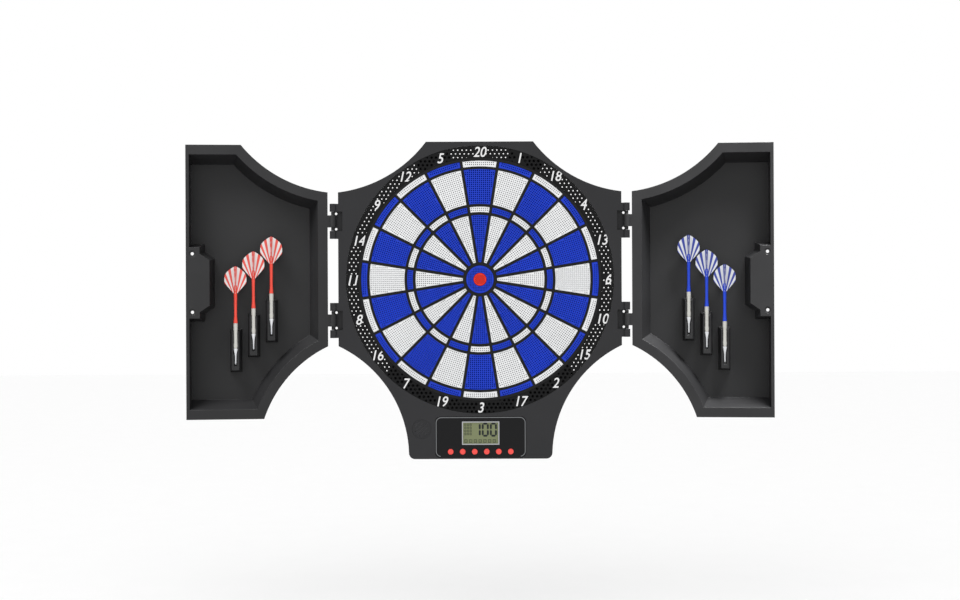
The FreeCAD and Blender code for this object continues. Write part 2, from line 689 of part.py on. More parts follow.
def spider_frame():
    """The grid of bars between the segments, its rim, its skirt and the ledge that holds it in."""
    front, deep, play = size("spider_front"), size("spider_depth"), size("segment_play")
    outer, back = size("spider_outer"), size("plate_back")
    ledge = tube(0, size("ledge_radius"), size("ledge_front"), size("ledge_back"))
    cup = tube(0, outer, front, back).fuse(ledge).removeSplitter()
    cup = cup.cut(tube(0, size("skirt_inner"), front - deep, back - 1))
    through = Vector(0, deep + 2, 0)
    holes = [tube(0, size("bull_ring_outer") + play, front + 1, front - deep - 1)]
    for names in SECTOR_RINGS.values():
        r_in, r_out = (size(name) for name in names)
        for k in range(20):
            middle, gap = math.radians(18 * k), size("bar_half") - play
            face = sector_face(r_in - play, r_out + play, middle, gap, front + 1)
            holes.append(face.extrude(through))
    return shape_piece("spider_frame", cup.cut(holes))


def target_stack():
    """Rubber mat, sensor film and backing plate behind the segments."""
    for label, front, back in (("impact_mat", "mat_front", "mat_back"),
                               ("sensor_membrane", "mat_back", "film_back")):
        made = body(label)
        slab(made, lambda s: circle(s, "0", "0", "plate_radius"), front, back)
    made = body("backing_plate")
    slab(made, lambda s: circle(s, "0", "0", "plate_radius"), "film_back", "plate_back")
    cut(made, lambda s: rectangle(s, "-7", "7", "-187.5", "-184.5"), "film_back", "plate_back - 1")


def ribbon_cable():
    """Flat cable from the sensor film, out through the backing plate, down to the circuit board."""
    made = body("ribbon_cable")
    profile = sketch(made, "YZ_Plane", "-6")
    board_back = "1.6 - board_front"
    outline(profile, [
        ("-film_back", "-185.8"), ("-26.4", "-185.8"), ("-26.4", "-238.4"), (board_back, "-238.4"),
        (board_back, "-238"), ("-26.8", "-238"), ("-26.8", "-186.2"), ("-film_back", "-186.2"),
    ])
    extrude(made, "Pad", profile, "12")


# --- the console ------------------------------------------------------------

def console_panel():
    """Glossy control panel with openings for the display and the buttons."""
    made = body("console_panel")
    corner = "panel_radius - 0.2"
    slab(made, lambda s: rounded_rectangle(s, "panel_half", "panel_bottom", "panel_top", corner),
         "board_depth", "board_depth - panel_thick")
    cut(made, lambda s: centred_rectangle(s, "lcd_width + 0.4", "lcd_height + 0.4", "lcd_z"),
        "board_depth", "board_depth - panel_thick - 1")
    holes = [(f"button_pitch * {k - 2.5}", "button_z", "button_radius + 0.2") for k in range(6)]
    cut(made, every(circle, holes), "board_depth", "board_depth - panel_thick - 1")


def centred_rectangle(target, width, height, z):
    """A rectangle about the middle plane and a height."""
    rectangle(target, f"-({width}) / 2", f"({width}) / 2", f"{z} - ({height}) / 2", f"{z} + ({height}) / 2")


def lcd():
    """Display bezel, and the display with its backlight down to the circuit board."""
    frame = body("lcd_bezel")
    slab(frame, lambda s: centred_rectangle(s, "lcd_width", "lcd_height", "lcd_z"), "board_depth + 0.3",
         "board_depth - 1.7")
    inside = ("lcd_width - 2 * lcd_border", "lcd_height - 2 * lcd_border")
    cut(frame, lambda s: centred_rectangle(s, *inside, "lcd_z"), "board_depth + 0.3", "board_depth - 2.7")
    panel = body("lcd_module")
    slab(panel, lambda s: centred_rectangle(s, "lcd_width - 1", "lcd_height - 1", "lcd_z"),
         "board_depth - 1.7", "board_front")


def buttons():
    """Six push buttons: round cap, flange behind the panel and stem to its switch."""
    for k in range(6):
        made = body(f"button_{k + 1}")
        x = f"button_pitch * {k - 2.5}"
        flange = "board_depth - panel_thick - 0.1"
        for radius, front, back in (("button_radius", "button_front", flange),
                                    ("button_radius + 1", flange, f"{flange} - 1.2"),
                                    ("2", f"{flange} - 1.2", "board_front + 1.5")):
            slab(made, lambda s: circle(s, x, "button_z", radius), front, back)


def circuit_board():
    """Circuit board on the housing's posts."""
    made = body("circuit_board")
    slab(made, lambda s: rectangle(s, "-78", "78", "-291.5", "-233"), "board_front", "board_front - 1.6")
    holes = [(x, z, "1.3") for x, z in BOARD_POSTS]
    cut(made, every(circle, holes), "board_front", "board_front - 2.6")


def speaker():
    """Round speaker behind the grille: basket and magnet."""
    made = body("speaker")
    slab(made, lambda s: circle(s, "speaker_x", "speaker_z", "speaker_radius"),
         "board_depth - wall_thick", "38")
    slab(made, lambda s: circle(s, "speaker_x", "speaker_z", "9"), "38", "32")


def power():
    """Three cells lying across the bay, their contacts and the sliding cover."""
    middle = size("wall_thick") + 0.3 + size("cell_radius")
    rows = [size("bay_bottom") + 8.2 + 15.8 * k for k in range(3)]
    left = size("bay_x") - size("cell_length") / 2 - 1
    cells, contacts = [], []
    for k, z in enumerate(rows):
        start = Vector(left, -middle, z)
        can = Part.makeCylinder(size("cell_radius"), size("cell_length") - 1.2, start, Vector(1, 0, 0))
        nub = Part.makeCylinder(2.6, 1.2, start + Vector(size("cell_length") - 1.2, 0, 0), Vector(1, 0, 0))
        cells.append(can.fuse(nub))
        low = size("bay_x - bay_half")
        spring = Vector(low + 0.4, -middle, z)
        contacts.append(Part.makeCone(4, 2.2, left - low - 0.5, spring, Vector(1, 0, 0)))
        contacts.append(Part.makeBox(0.4, 10, 12, Vector(low, -middle - 5, z - 6)))
        end = left + size("cell_length")
        contacts.append(Part.makeBox(0.4, 10, 12, Vector(end + 0.05, -middle - 5, z - 6)))
    shape_piece("batteries", Part.makeCompound(cells))
    shape_piece("battery_contacts", Part.makeCompound(contacts))
    made = body("battery_cover")
    low = "0.3 - board_bottom"
    layers = (("(bay_half + 1.8)", "wall_thick - 0.1", "1.3"), ("(bay_half - 0.2)", "1.3", "0"))
    for half, front, back in layers:
        slab(made, lambda s: rectangle(s, f"bay_x - {half}", f"bay_x + {half}", low, "bay_top + 0.8"),
             front, back)
    grooves = [("bay_x - 12", "bay_x + 12", f"bay_bottom + {6 + 3 * k}", f"bay_bottom + {7.4 + 3 * k}")
               for k in range(4)]
    cut(made, every(rectangle, grooves), "0.5", "-1")


def housing_screws():
    """Ten countersunk screws from the back into the housing's bosses."""
    screws = []
    radius = size("screw_radius") - 0.22
    for x, z in screw_sites():
        head = Part.makeCylinder(3, 1.6, Vector(x, 0, z), Vector(0, -1, 0))
        shank = Part.makeCylinder(radius, 10, Vector(x, -1.6, z), Vector(0, -1, 0))
        slot = Part.makeBox(4, 0.8, 0.9, Vector(x - 2, -0.8, z - 0.45))
        cross = Part.makeBox(0.9, 0.8, 4, Vector(x - 0.45, -0.8, z - 2))
        screws.append(head.fuse(shank).cut(slot.fuse(cross)))
    shape_piece("housing_screws", Part.makeCompound(screws))


def hinge_pins():
    """Four steel pins, one through each hinge."""
    reach = size("knuckle_reach")
    pins = []
    for x in (size("hinge_x"), -size("hinge_x")):
        for z in (size("hinge_upper_z"), size("hinge_lower_z")):
            start = Vector(x, -size("board_depth"), z - reach)
            pins.append(Part.makeCylinder(size("pin_radius"), 2 * reach, start, Vector(0, 0, 1)))
    shape_piece("hinge_pins", Part.makeCompound(pins))


# --- the doors --------------------------------------------------------------

def door_frame(hand):
    """Placement of a door's own frame: on its hinge axis, opened until it stops short of flat."""
    turn = Rotation(Vector(0, 0, 1), -hand * size("door_open_angle"))
    return Placement(Vector(hand * size("hinge_x"), -size("board_depth"), 0), turn)


def grip_outline(hand, grow, edge):
    """The raised grip plateau, made larger by grow, from a line at edge inside the free edge."""
    def corner(from_edge, sign, height):
        return (f"{hand} * (door_free_edge - ({from_edge}))", f"grip_z + {sign} * ({height})")
    strip, reach = f"grip_strip + {grow}", f"grip_reach + {grow}"
    half = [(edge, f"grip_half + {grow}"), (strip, f"grip_half + {grow}"),
            (strip, f"grip_shoulder + {grow} / 2"), (reach, f"grip_nose + {grow} / 2")]
    upper = [corner(across, 1, height) for across, height in half]
    lower = [corner(across, -1, height) for across, height in half]
    return upper + lower[::-1]


def door(label, hand):
    """A deep moulded door with a bevelled border, a hollow grip plateau, three clips and two knuckles."""
    made = body(label, door_frame(hand))
    flat = "-(door_gap + door_flange)"
    slab(made, lambda s: outline(s, door_outline(hand, "0", "door_free_edge")), "-door_gap", flat)
    loft(made, "AdditiveLoft", door_outline(hand, "(door_rim - door_wall)", "door_free_edge"),
         door_outline(hand, "(door_bevel_end - door_wall + 0.6)", "door_free_edge"),
         "door_gap", "door_floor_back")
    loft(made, "SubtractiveLoft", door_outline(hand, "door_rim", "door_free_edge - free_wall"),
         door_outline(hand, "door_bevel_end", "door_free_edge - free_wall"), "door_gap", "door_floor")
    loft(made, "AdditiveLoft", grip_outline(hand, "0", "0"), grip_outline(hand, "grip_draft", "0"),
         "door_gap", "door_floor + 0.5")
    loft(made, "SubtractiveLoft", grip_outline(hand, "(0 - door_wall)", "door_wall"),
         grip_outline(hand, "(grip_draft - door_wall)", "door_wall"), "door_gap + door_flange",
         "door_floor_back + 1")
    places = [(f"{hand} * (door_free_edge - pull_hole_edge)", f"grip_z + {z}")
              for z in both_sides("pull_hole_pitch / 2")]
    cut(made, every(circle, [(x, z, "pull_hole_radius") for x, z in places]), "-door_gap", flat + " - 1")
    cut(made, every(circle, [(x, z, "2 * pull_hole_radius") for x, z in places]),
        "-door_gap", "-door_gap - 0.6")
    for k in range(3):
        add_clip(made, hand, k)
    add_door_knuckles(made, hand)


def clip_box(hand, k, grow):
    """The foot or the top of a dart clip as an outline, made larger by grow."""
    x = f"{hand} * (dart_first + dart_pitch * {k})"
    low = f"(dart_tip_z - dart_step * {k} - clip_below_tip)"
    return [(f"{x} - clip_width / 2 - {grow}", f"{low} - {grow}"),
            (f"{x} - clip_width / 2 - {grow}", f"{low} + clip_length + {grow}"),
            (f"{x} + clip_width / 2 + {grow}", f"{low} + clip_length + {grow}"),
            (f"{x} + clip_width / 2 + {grow}", f"{low} - {grow}")]


def add_clip(made, hand, k):
    """A drafted block on the floor with a slot that holds the barrel and tip of a dart."""
    loft(made, "AdditiveLoft", clip_box(hand, k, "(0 - clip_draft)"), clip_box(hand, k, "0"),
         "clip_top_depth", "door_floor + 0.5")
    x = f"{hand} * (dart_first + dart_pitch * {k})"
    tip = f"(dart_tip_z - dart_step * {k})"
    for slot, low, high in (("tip_slot", f"{tip} - 3", f"{tip} + tip_slot_end + 1"),
                            ("clip_slot", f"{tip} + tip_slot_end", f"{tip} + clip_length")):
        cut(made, lambda s: rectangle(s, f"{x} - {slot} / 2", f"{x} + {slot} / 2", low, high),
            "-clip_top_depth + 1", f"-dart_axis_depth - {slot} / 2")


def add_door_knuckles(made, hand):
    """A wide knuckle with slim ends on each hinge pin, and its arm to the door."""
    for middle in ("hinge_upper_z", "hinge_lower_z"):
        low, high = f"{middle} - door_knuckle_half", f"{middle} + door_knuckle_half"
        end = "knuckle_inner - 0.5"
        upright(made, lambda s: rectangle(s, "0", f"{hand} * (hinge_x - board_half_width + 1)", "door_gap",
                                          "barrel_radius"), low, high)
        upright(made, lambda s: circle(s, "0", "0", "barrel_radius"), low, high)
        upright(made, lambda s: circle(s, "0", "0", "door_neck_radius"), f"{middle} - ({end})",
                f"{middle} + ({end})")
        upright(made, lambda s: circle(s, "0", "0", "pin_radius + pin_play"), f"{middle} - knuckle_inner",
                f"{middle} + knuckle_inner", "Pocket")


# --- the darts --------------------------------------------------------------

def dart_frame(hand, k):
    """Placement of a dart: its point is the origin and its flight is up, on its door."""
    x = hand * size(f"dart_first + dart_pitch * {k}")
    place = Placement(Vector(x, size("dart_axis_depth"), size(f"dart_tip_z - dart_step * {k}")), Rotation())
    return door_frame(hand).multiply(place)


def dart_tip(label, where):
    """Soft plastic tip with a threaded end in the barrel."""
    made = body(label, where)
    turned(made, [("0", "0"), ("0.9", "0.3"), ("1.3", "13"), ("1.9", "tip_slot_end"),
                  ("tip_collar", "tip_length - 1.4"), ("tip_collar", "tip_length"), ("2.1", "tip_length"),
                  ("2.1", "tip_length + 6"), ("0", "tip_length + 6")])


def dart_barrel(label, where):
    """Metal barrel with ring grooves and a blind thread at each end."""
    groove, mouth = "dart_radius - 0.35", "thread_radius + 0.1"
    points = [("2.2", "0"), ("3.1", "0"), ("dart_radius - 0.1", "4")]
    for k in range(10):
        z = 8 + 2.4 * k
        points += [("dart_radius", z), ("dart_radius", z + 1.4), (groove, z + 1.7), (groove, z + 2.1)]
    points += [("dart_radius", "34"), ("dart_radius - 0.5", "barrel_length"), (mouth, "barrel_length"),
               (mouth, "barrel_length - 6.5"), ("0", "barrel_length - 6.5"), ("0", "6.5"), ("2.2", "6.5")]
    points = [(x, f"tip_length + ({z})") for x, z in points]
    turned(body(label, where), points)


def dart_shaft(label, where):
    """Plastic shaft: threaded foot in the barrel, waisted stem, cross slots for the flight."""
    made = body(label, where)
    start, end = "tip_length + barrel_length", "tip_length + barrel_length + shaft_length"
    turned(made, [("0", f"{start} - 6"), ("thread_radius", f"{start} - 6"), ("thread_radius", start),
                  ("shaft_foot", start), ("shaft_foot - 0.3", f"{start} + 5"),
                  ("shaft_waist", f"{start} + 14"), ("shaft_waist", f"{end} - 24"),
                  ("shaft_radius", f"{end} - 16"), ("shaft_radius - 0.3", end), ("0", end)])
    doc.recompute()
    before = made.Shape.Volume
    reach = "flight_thick / 2 + 0.03"
    for half_x, half_y in (("6", reach), (reach, "6")):
        upright(made, lambda s: rectangle(s, f"-({half_x})", half_x, f"-({half_y})", half_y), "flight_start",
                f"{end} + 1", "Pocket")
    doc.recompute()
    if not made.Shape.Volume < before:
        raise RuntimeError("the slots cut nothing in " + label)


def flight_outline(target):
    """The shell-shaped outline of two opposite vanes: a foot, wide shoulders and a low point."""
    foot, top = "flight_start", "flight_start + flight_length"
    low, high, shoulder = f"{foot} + flight_low", f"{foot} + flight_high", "(flight_half - 0.5)"
    side, crown = "flight_half * 2", "flight_half * 1.4"
    outline(target, [
        ("-0.4", foot), ("0.4", foot), (shoulder, low, side, 1), (shoulder, high, crown, 1),
        ("0", top, crown, 1), (f"-{shoulder}", high, side, 1), (f"-{shoulder}", low),
    ])


def dart_flight(label, where):
    """Four thin vanes in a cross."""
    made = body(label, where)
    for plane in ("XZ_Plane", "YZ_Plane"):
        profile = sketch(made, plane, "-flight_thick / 2")
        flight_outline(profile)
        extrude(made, "Pad", profile, "flight_thick", backward=(plane == "XZ_Plane"))


def darts():
    """Three darts on each door, four pieces each."""
    for side, hand in (("left", -1), ("right", 1)):
        for k in range(3):
            where = dart_frame(hand, k)
            for kind, make in (("tip", dart_tip), ("barrel", dart_barrel), ("shaft", dart_shaft),
                               ("flight", dart_flight)):
                make(f"{side}_dart_{k + 1}_{kind}", where)


# --- build, check, write ----------------------------------------------------

def check_and_write():
    """Stop on any failed object or shape, then write one STEP file per piece."""
    doc.recompute()
    for item in doc.Objects:
        if {"Invalid", "Error"} & set(item.State):
            raise RuntimeError(f"{item.Label} is {item.State}")
    for item in pieces:
        if item.Shape.isNull() or not item.Shape.isValid() or not item.Shape.Solids:
            raise RuntimeError(item.Label + " has no valid solid")
    os.makedirs("parts", exist_ok=True)
    for item in pieces:
        item.Shape.exportStep(f"parts/{item.Label}.step")
        box = item.Shape.BoundBox
        print(f"{item.Label:24s} solids {len(item.Shape.Solids):3d} volume {item.Shape.Volume:12.1f}",
              *(f"{value:.1f}" for value in (box.XMin, box.XMax, box.YMin, box.YMax, box.ZMin, box.ZMax)))
    print(len(pieces), "pieces")


front_housing()
rear_cover()
number_ring()
spider_frame()
segments()
target_stack()
ribbon_cable()
console_panel()
lcd()
buttons()
circuit_board()
speaker()
power()
housing_screws()
hinge_pins()
door("left_door", -1)
door("right_door", 1)
darts()
check_and_write()
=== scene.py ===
import math

import bpy
import numpy as np
from mathutils import Matrix, Vector, geometry


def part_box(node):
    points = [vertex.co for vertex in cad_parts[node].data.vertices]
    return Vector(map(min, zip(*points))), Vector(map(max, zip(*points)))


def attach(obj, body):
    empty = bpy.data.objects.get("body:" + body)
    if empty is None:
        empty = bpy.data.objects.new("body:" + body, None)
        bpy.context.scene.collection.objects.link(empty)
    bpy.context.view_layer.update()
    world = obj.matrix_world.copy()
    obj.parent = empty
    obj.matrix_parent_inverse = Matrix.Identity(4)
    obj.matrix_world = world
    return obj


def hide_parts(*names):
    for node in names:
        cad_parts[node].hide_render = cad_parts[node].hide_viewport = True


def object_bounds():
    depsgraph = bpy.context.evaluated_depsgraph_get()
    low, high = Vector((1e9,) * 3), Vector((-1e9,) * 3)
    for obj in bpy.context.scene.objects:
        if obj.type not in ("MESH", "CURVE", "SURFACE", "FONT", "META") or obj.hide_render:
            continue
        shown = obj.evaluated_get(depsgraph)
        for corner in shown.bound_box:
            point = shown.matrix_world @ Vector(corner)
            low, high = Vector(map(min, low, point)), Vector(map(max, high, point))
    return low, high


# Looks of an electronic dart board with cabinet doors. Lengths are millimetres until mesh_from turns
# them into metres. The frame is the part's own: +Z up, the front faces -Y, the bull is on x = z = 0.

MM = 0.001
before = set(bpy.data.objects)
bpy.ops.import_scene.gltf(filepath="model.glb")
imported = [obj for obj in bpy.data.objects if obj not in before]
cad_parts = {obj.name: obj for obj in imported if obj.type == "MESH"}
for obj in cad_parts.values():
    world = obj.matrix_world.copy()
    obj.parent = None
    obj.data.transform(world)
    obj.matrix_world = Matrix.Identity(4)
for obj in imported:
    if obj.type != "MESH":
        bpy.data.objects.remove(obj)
size_at_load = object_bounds()

RING_ORDER = (20, 1, 18, 4, 13, 6, 10, 15, 2, 17, 3, 19, 7, 16, 8, 11, 14, 9, 12, 5)
SECTOR = math.radians(18)
HOLE_PITCH = 3.3
HOLE_MOUTH = 1.25
HOLE_RADIUS = 0.85
HOLE_SIDES = 8
SHAFT_IN_FLIGHT = 16


# --- meshes -----------------------------------------------------------------

def mesh_from(name, verts, faces, body, material, replaced=(), smooth=False):
    """One piece from points in millimetres, riding on a body and wearing a material."""
    mesh = bpy.data.meshes.new(name)
    mesh.from_pydata([(x * MM, y * MM, z * MM) for x, y, z in verts], [], faces)
    mesh.validate()
    mesh.update()
    piece = bpy.data.objects.new(name, mesh)
    bpy.context.scene.collection.objects.link(piece)
    if smooth:
        mesh.shade_smooth()
    mesh.materials.append(material)
    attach(piece, body)
    if replaced:
        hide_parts(*replaced)
    return piece


class Build:
    """Points and faces gathered for one mesh."""

    def __init__(self):
        self.verts = []
        self.faces = []

    def add(self, points):
        """Append points and return their numbers."""
        first = len(self.verts)
        self.verts.extend(tuple(point) for point in points)
        return list(range(first, len(self.verts)))

    def band(self, one, two, flip=False):
        """Quads between two closed loops with the same number of points."""
        count = len(one)
        for i in range(count):
            j = (i + 1) % count
            quad = (one[i], one[j], two[j], two[i])
            self.faces.append(quad[::-1] if flip else quad)

    def sheet(self, outer, holes, flip=False):
        """A flat face in a plane of constant y, inside a loop and outside the holes."""
        flat = [Vector((self.verts[i][0], self.verts[i][2])) for loop in [outer, *holes] for i in loop]
        numbers = [i for loop in [outer, *holes] for i in loop]
        owner, edges, start = [], [], 0
        for k, loop in enumerate([outer, *holes]):
            owner += [k] * len(loop)
            edges += [(start + i, start + (i + 1) % len(loop)) for i in range(len(loop))]
            start += len(loop)
        result = geometry.delaunay_2d_cdt(flat, edges, [list(range(len(outer)))], 1, 1e-5)
        source = [first[0] if first else None for first in result[3]]
        for triangle in result[2]:
            corners = [source[i] for i in triangle]
            if None in corners:
                continue
            owners = {owner[i] for i in corners}
            if len(owners) == 1 and owners != {0}:
                continue
            face = [numbers[i] for i in corners]
            self.faces.append(tuple(face[::-1] if flip else face))


def circle_points(x, z, radius, y, sides, turn=0.0):
    """Points round a circle in a plane of constant y."""
    angles = [turn + 2 * math.pi * k / sides for k in range(sides)]
    return [(x + radius * math.cos(a), y, z + radius * math.sin(a)) for a in angles]


def rotated(points, angle):
    """Points turned clockwise about the bull, as seen from the front."""
    c, s = math.cos(angle), math.sin(angle)
    return [(x * c + z * s, y, z * c - x * s) for x, y, z in points]


def lathe(name, profile, base, body, material, replaced=(), sides=32, ripple=None, smooth=True):
    """A turned piece standing on base. The profile is (radius, height) from the bottom to the top."""
    build = Build()
    loops = []
    for radius, height in profile:
        points = []
        for k in range(sides):
            angle = 2 * math.pi * k / sides
            r = radius + (ripple(angle, height) if ripple else 0.0)
            points.append(base + Vector((r * math.cos(angle), r * math.sin(angle), height)))
        loops.append(build.add(points))
    for one, two in zip(loops, loops[1:]):
        build.band(one, two)
    build.faces.append(tuple(loops[0][::-1]))
    build.faces.append(tuple(loops[-1]))
    return mesh_from(name, build.verts, build.faces, body, material, replaced, smooth)


# --- materials --------------------------------------------------------------

def srgb(red, green, blue):
    """A display colour, 0 to 255, as linear values."""
    def linear(value):
        value /= 255
        return value / 12.92 if value <= 0.04045 else ((value + 0.055) / 1.055) ** 2.4
    return (linear(red), linear(green), linear(blue), 1.0)


def link(tree, source, output, target, socket):
    """Join two sockets by name."""
    tree.links.new(source.outputs[output], target.inputs[socket])


def blank_material(name):
    """A material with its Principled shader."""
    material = bpy.data.materials.new(name)
    material.use_nodes = True
    return material, material.node_tree, material.node_tree.nodes["Principled BSDF"]


def add_noise(tree, scale, detail, coordinates):
    """Noise over the object's own coordinates, which are metres."""
    node = tree.nodes.new("ShaderNodeTexNoise")
    node.inputs["Scale"].default_value = scale
    node.inputs["Detail"].default_value = detail
    link(tree, coordinates, "Object", node, "Vector")
    return node


def ramp(tree, source, output, low, high):
    """Map a value's 0.3 to 0.7 range onto two numbers or two colours."""
    node = tree.nodes.new("ShaderNodeMapRange")
    node.inputs["From Min"].default_value = 0.3
    node.inputs["From Max"].default_value = 0.7
    node.inputs["To Min"].default_value = low
    node.inputs["To Max"].default_value = high
    link(tree, source, output, node, "Value")
    return node


def plastic(name, colour, roughness, grain=900.0, depth=0.12, spread=0.05, vary=0.10, edge=0.0, coat=0.0,
            specular=0.3):
    """Moulded plastic: fine surface grain, slight variation of colour and gloss, softened edges."""
    material, tree, shader = blank_material(name)
    coordinates = tree.nodes.new("ShaderNodeTexCoord")
    cloud = add_noise(tree, 14.0, 4.0, coordinates)
    fine = add_noise(tree, grain, 2.0, coordinates)
    shade = ramp(tree, cloud, "Fac", 1 - vary, 1 + vary)
    tint = tree.nodes.new("ShaderNodeVectorMath")
    tint.operation = "SCALE"
    tint.inputs[0].default_value = colour[:3]
    link(tree, shade, "Result", tint, "Scale")
    link(tree, tint, "Vector", shader, "Base Color")
    gloss = ramp(tree, cloud, "Fac", roughness - spread, roughness + spread)
    link(tree, gloss, "Result", shader, "Roughness")
    bump = tree.nodes.new("ShaderNodeBump")
    bump.inputs["Strength"].default_value = depth
    bump.inputs["Distance"].default_value = 0.0004
    link(tree, fine, "Fac", bump, "Height")
    if edge:
        soft = tree.nodes.new("ShaderNodeBevel")
        soft.samples = 4
        soft.inputs["Radius"].default_value = edge * MM
        link(tree, soft, "Normal", bump, "Normal")
    link(tree, bump, "Normal", shader, "Normal")
    shader.inputs["Specular IOR Level"].default_value = specular
    shader.inputs["Coat Weight"].default_value = coat
    shader.inputs["Coat Roughness"].default_value = 0.08
    return material


def metal(name, colour, roughness, brushed=300.0, metallic=1.0):
    """Plated metal with fine marks round it. A duller plate has less metallic."""
    material, tree, shader = blank_material(name)
    coordinates = tree.nodes.new("ShaderNodeTexCoord")
    stretch = tree.nodes.new("ShaderNodeMapping")
    stretch.inputs["Scale"].default_value = (0.2, 0.2, 6.0)
    link(tree, coordinates, "Object", stretch, "Vector")
    marks = tree.nodes.new("ShaderNodeTexNoise")
    marks.inputs["Scale"].default_value = brushed
    link(tree, stretch, "Vector", marks, "Vector")
    gloss = ramp(tree, marks, "Fac", roughness - 0.08, roughness + 0.1)
    link(tree, gloss, "Result", shader, "Roughness")
    bump = tree.nodes.new("ShaderNodeBump")
    bump.inputs["Strength"].default_value = 0.05
    bump.inputs["Distance"].default_value = 0.0001
    link(tree, marks, "Fac", bump, "Height")
    link(tree, bump, "Normal", shader, "Normal")
    shader.inputs["Base Color"].default_value = colour
    shader.inputs["Metallic"].default_value = metallic
    return material


def striped(name, colour, paper, period, share):
    """Printed flight: stripes fan out from the foot. The UV map holds millimetres across and up."""
    material, tree, shader = blank_material(name)
    place = tree.nodes.new("ShaderNodeUVMap")
    place.uv_map = "flight"
    split = tree.nodes.new("ShaderNodeSeparateXYZ")
    link(tree, place, "UV", split, "Vector")
    angle = math_node(tree, "ARCTAN2")
    link(tree, split, "X", angle, 0)
    link(tree, split, "Y", angle, 1)
    turns = math_node(tree, "DIVIDE", second=period)
    link(tree, angle, "Value", turns, 0)
    shifted = math_node(tree, "ADD", second=0.5)
    link(tree, turns, "Value", shifted, 0)
    part = math_node(tree, "FRACT")
    link(tree, shifted, "Value", part, 0)
    centred = math_node(tree, "SUBTRACT", second=0.5)
    link(tree, part, "Value", centred, 0)
    distance = math_node(tree, "ABSOLUTE")
    link(tree, centred, "Value", distance, 0)
    edge = tree.nodes.new("ShaderNodeMapRange")
    edge.inputs["From Min"].default_value = share - 0.03
    edge.inputs["From Max"].default_value = share + 0.03
    link(tree, distance, "Value", edge, "Value")
    mix = tree.nodes.new("ShaderNodeMix")
    mix.data_type = "RGBA"
    mix.inputs["A"].default_value = colour
    mix.inputs["B"].default_value = paper
    link(tree, edge, "Result", mix, "Factor")
    link(tree, mix, "Result", shader, "Base Color")
    coordinates = tree.nodes.new("ShaderNodeTexCoord")
    film = add_noise(tree, 120.0, 2.0, coordinates)
    gloss = ramp(tree, film, "Fac", 0.3, 0.42)
    link(tree, gloss, "Result", shader, "Roughness")
    shader.inputs["Coat Weight"].default_value = 0.4
    shader.inputs["Coat Roughness"].default_value = 0.15
    return material


def math_node(tree, operation, second=None):
    """A Math node, with its second value when it has one."""
    node = tree.nodes.new("ShaderNodeMath")
    node.operation = operation
    if second is not None:
        node.inputs[1].default_value = second
    return node


def lattice_board(name, colour):
    """Circuit board: solder mask with fine traces and pads."""
    material, tree, shader = blank_material(name)
    coordinates = tree.nodes.new("ShaderNodeTexCoord")
    bricks = tree.nodes.new("ShaderNodeTexBrick")
    bricks.inputs["Scale"].default_value = 160.0
    bricks.inputs["Mortar Size"].default_value = 0.04
    bricks.inputs["Color1"].default_value = colour
    bricks.inputs["Color2"].default_value = srgb(18, 92, 46)
    bricks.inputs["Mortar"].default_value = srgb(60, 140, 80)
    turn = tree.nodes.new("ShaderNodeMapping")
    turn.inputs["Rotation"].default_value = (math.radians(90), 0, 0)
    link(tree, coordinates, "Object", turn, "Vector")
    link(tree, turn, "Vector", bricks, "Vector")
    link(tree, bricks, "Color", shader, "Base Color")
    shader.inputs["Roughness"].default_value = 0.35
    return material


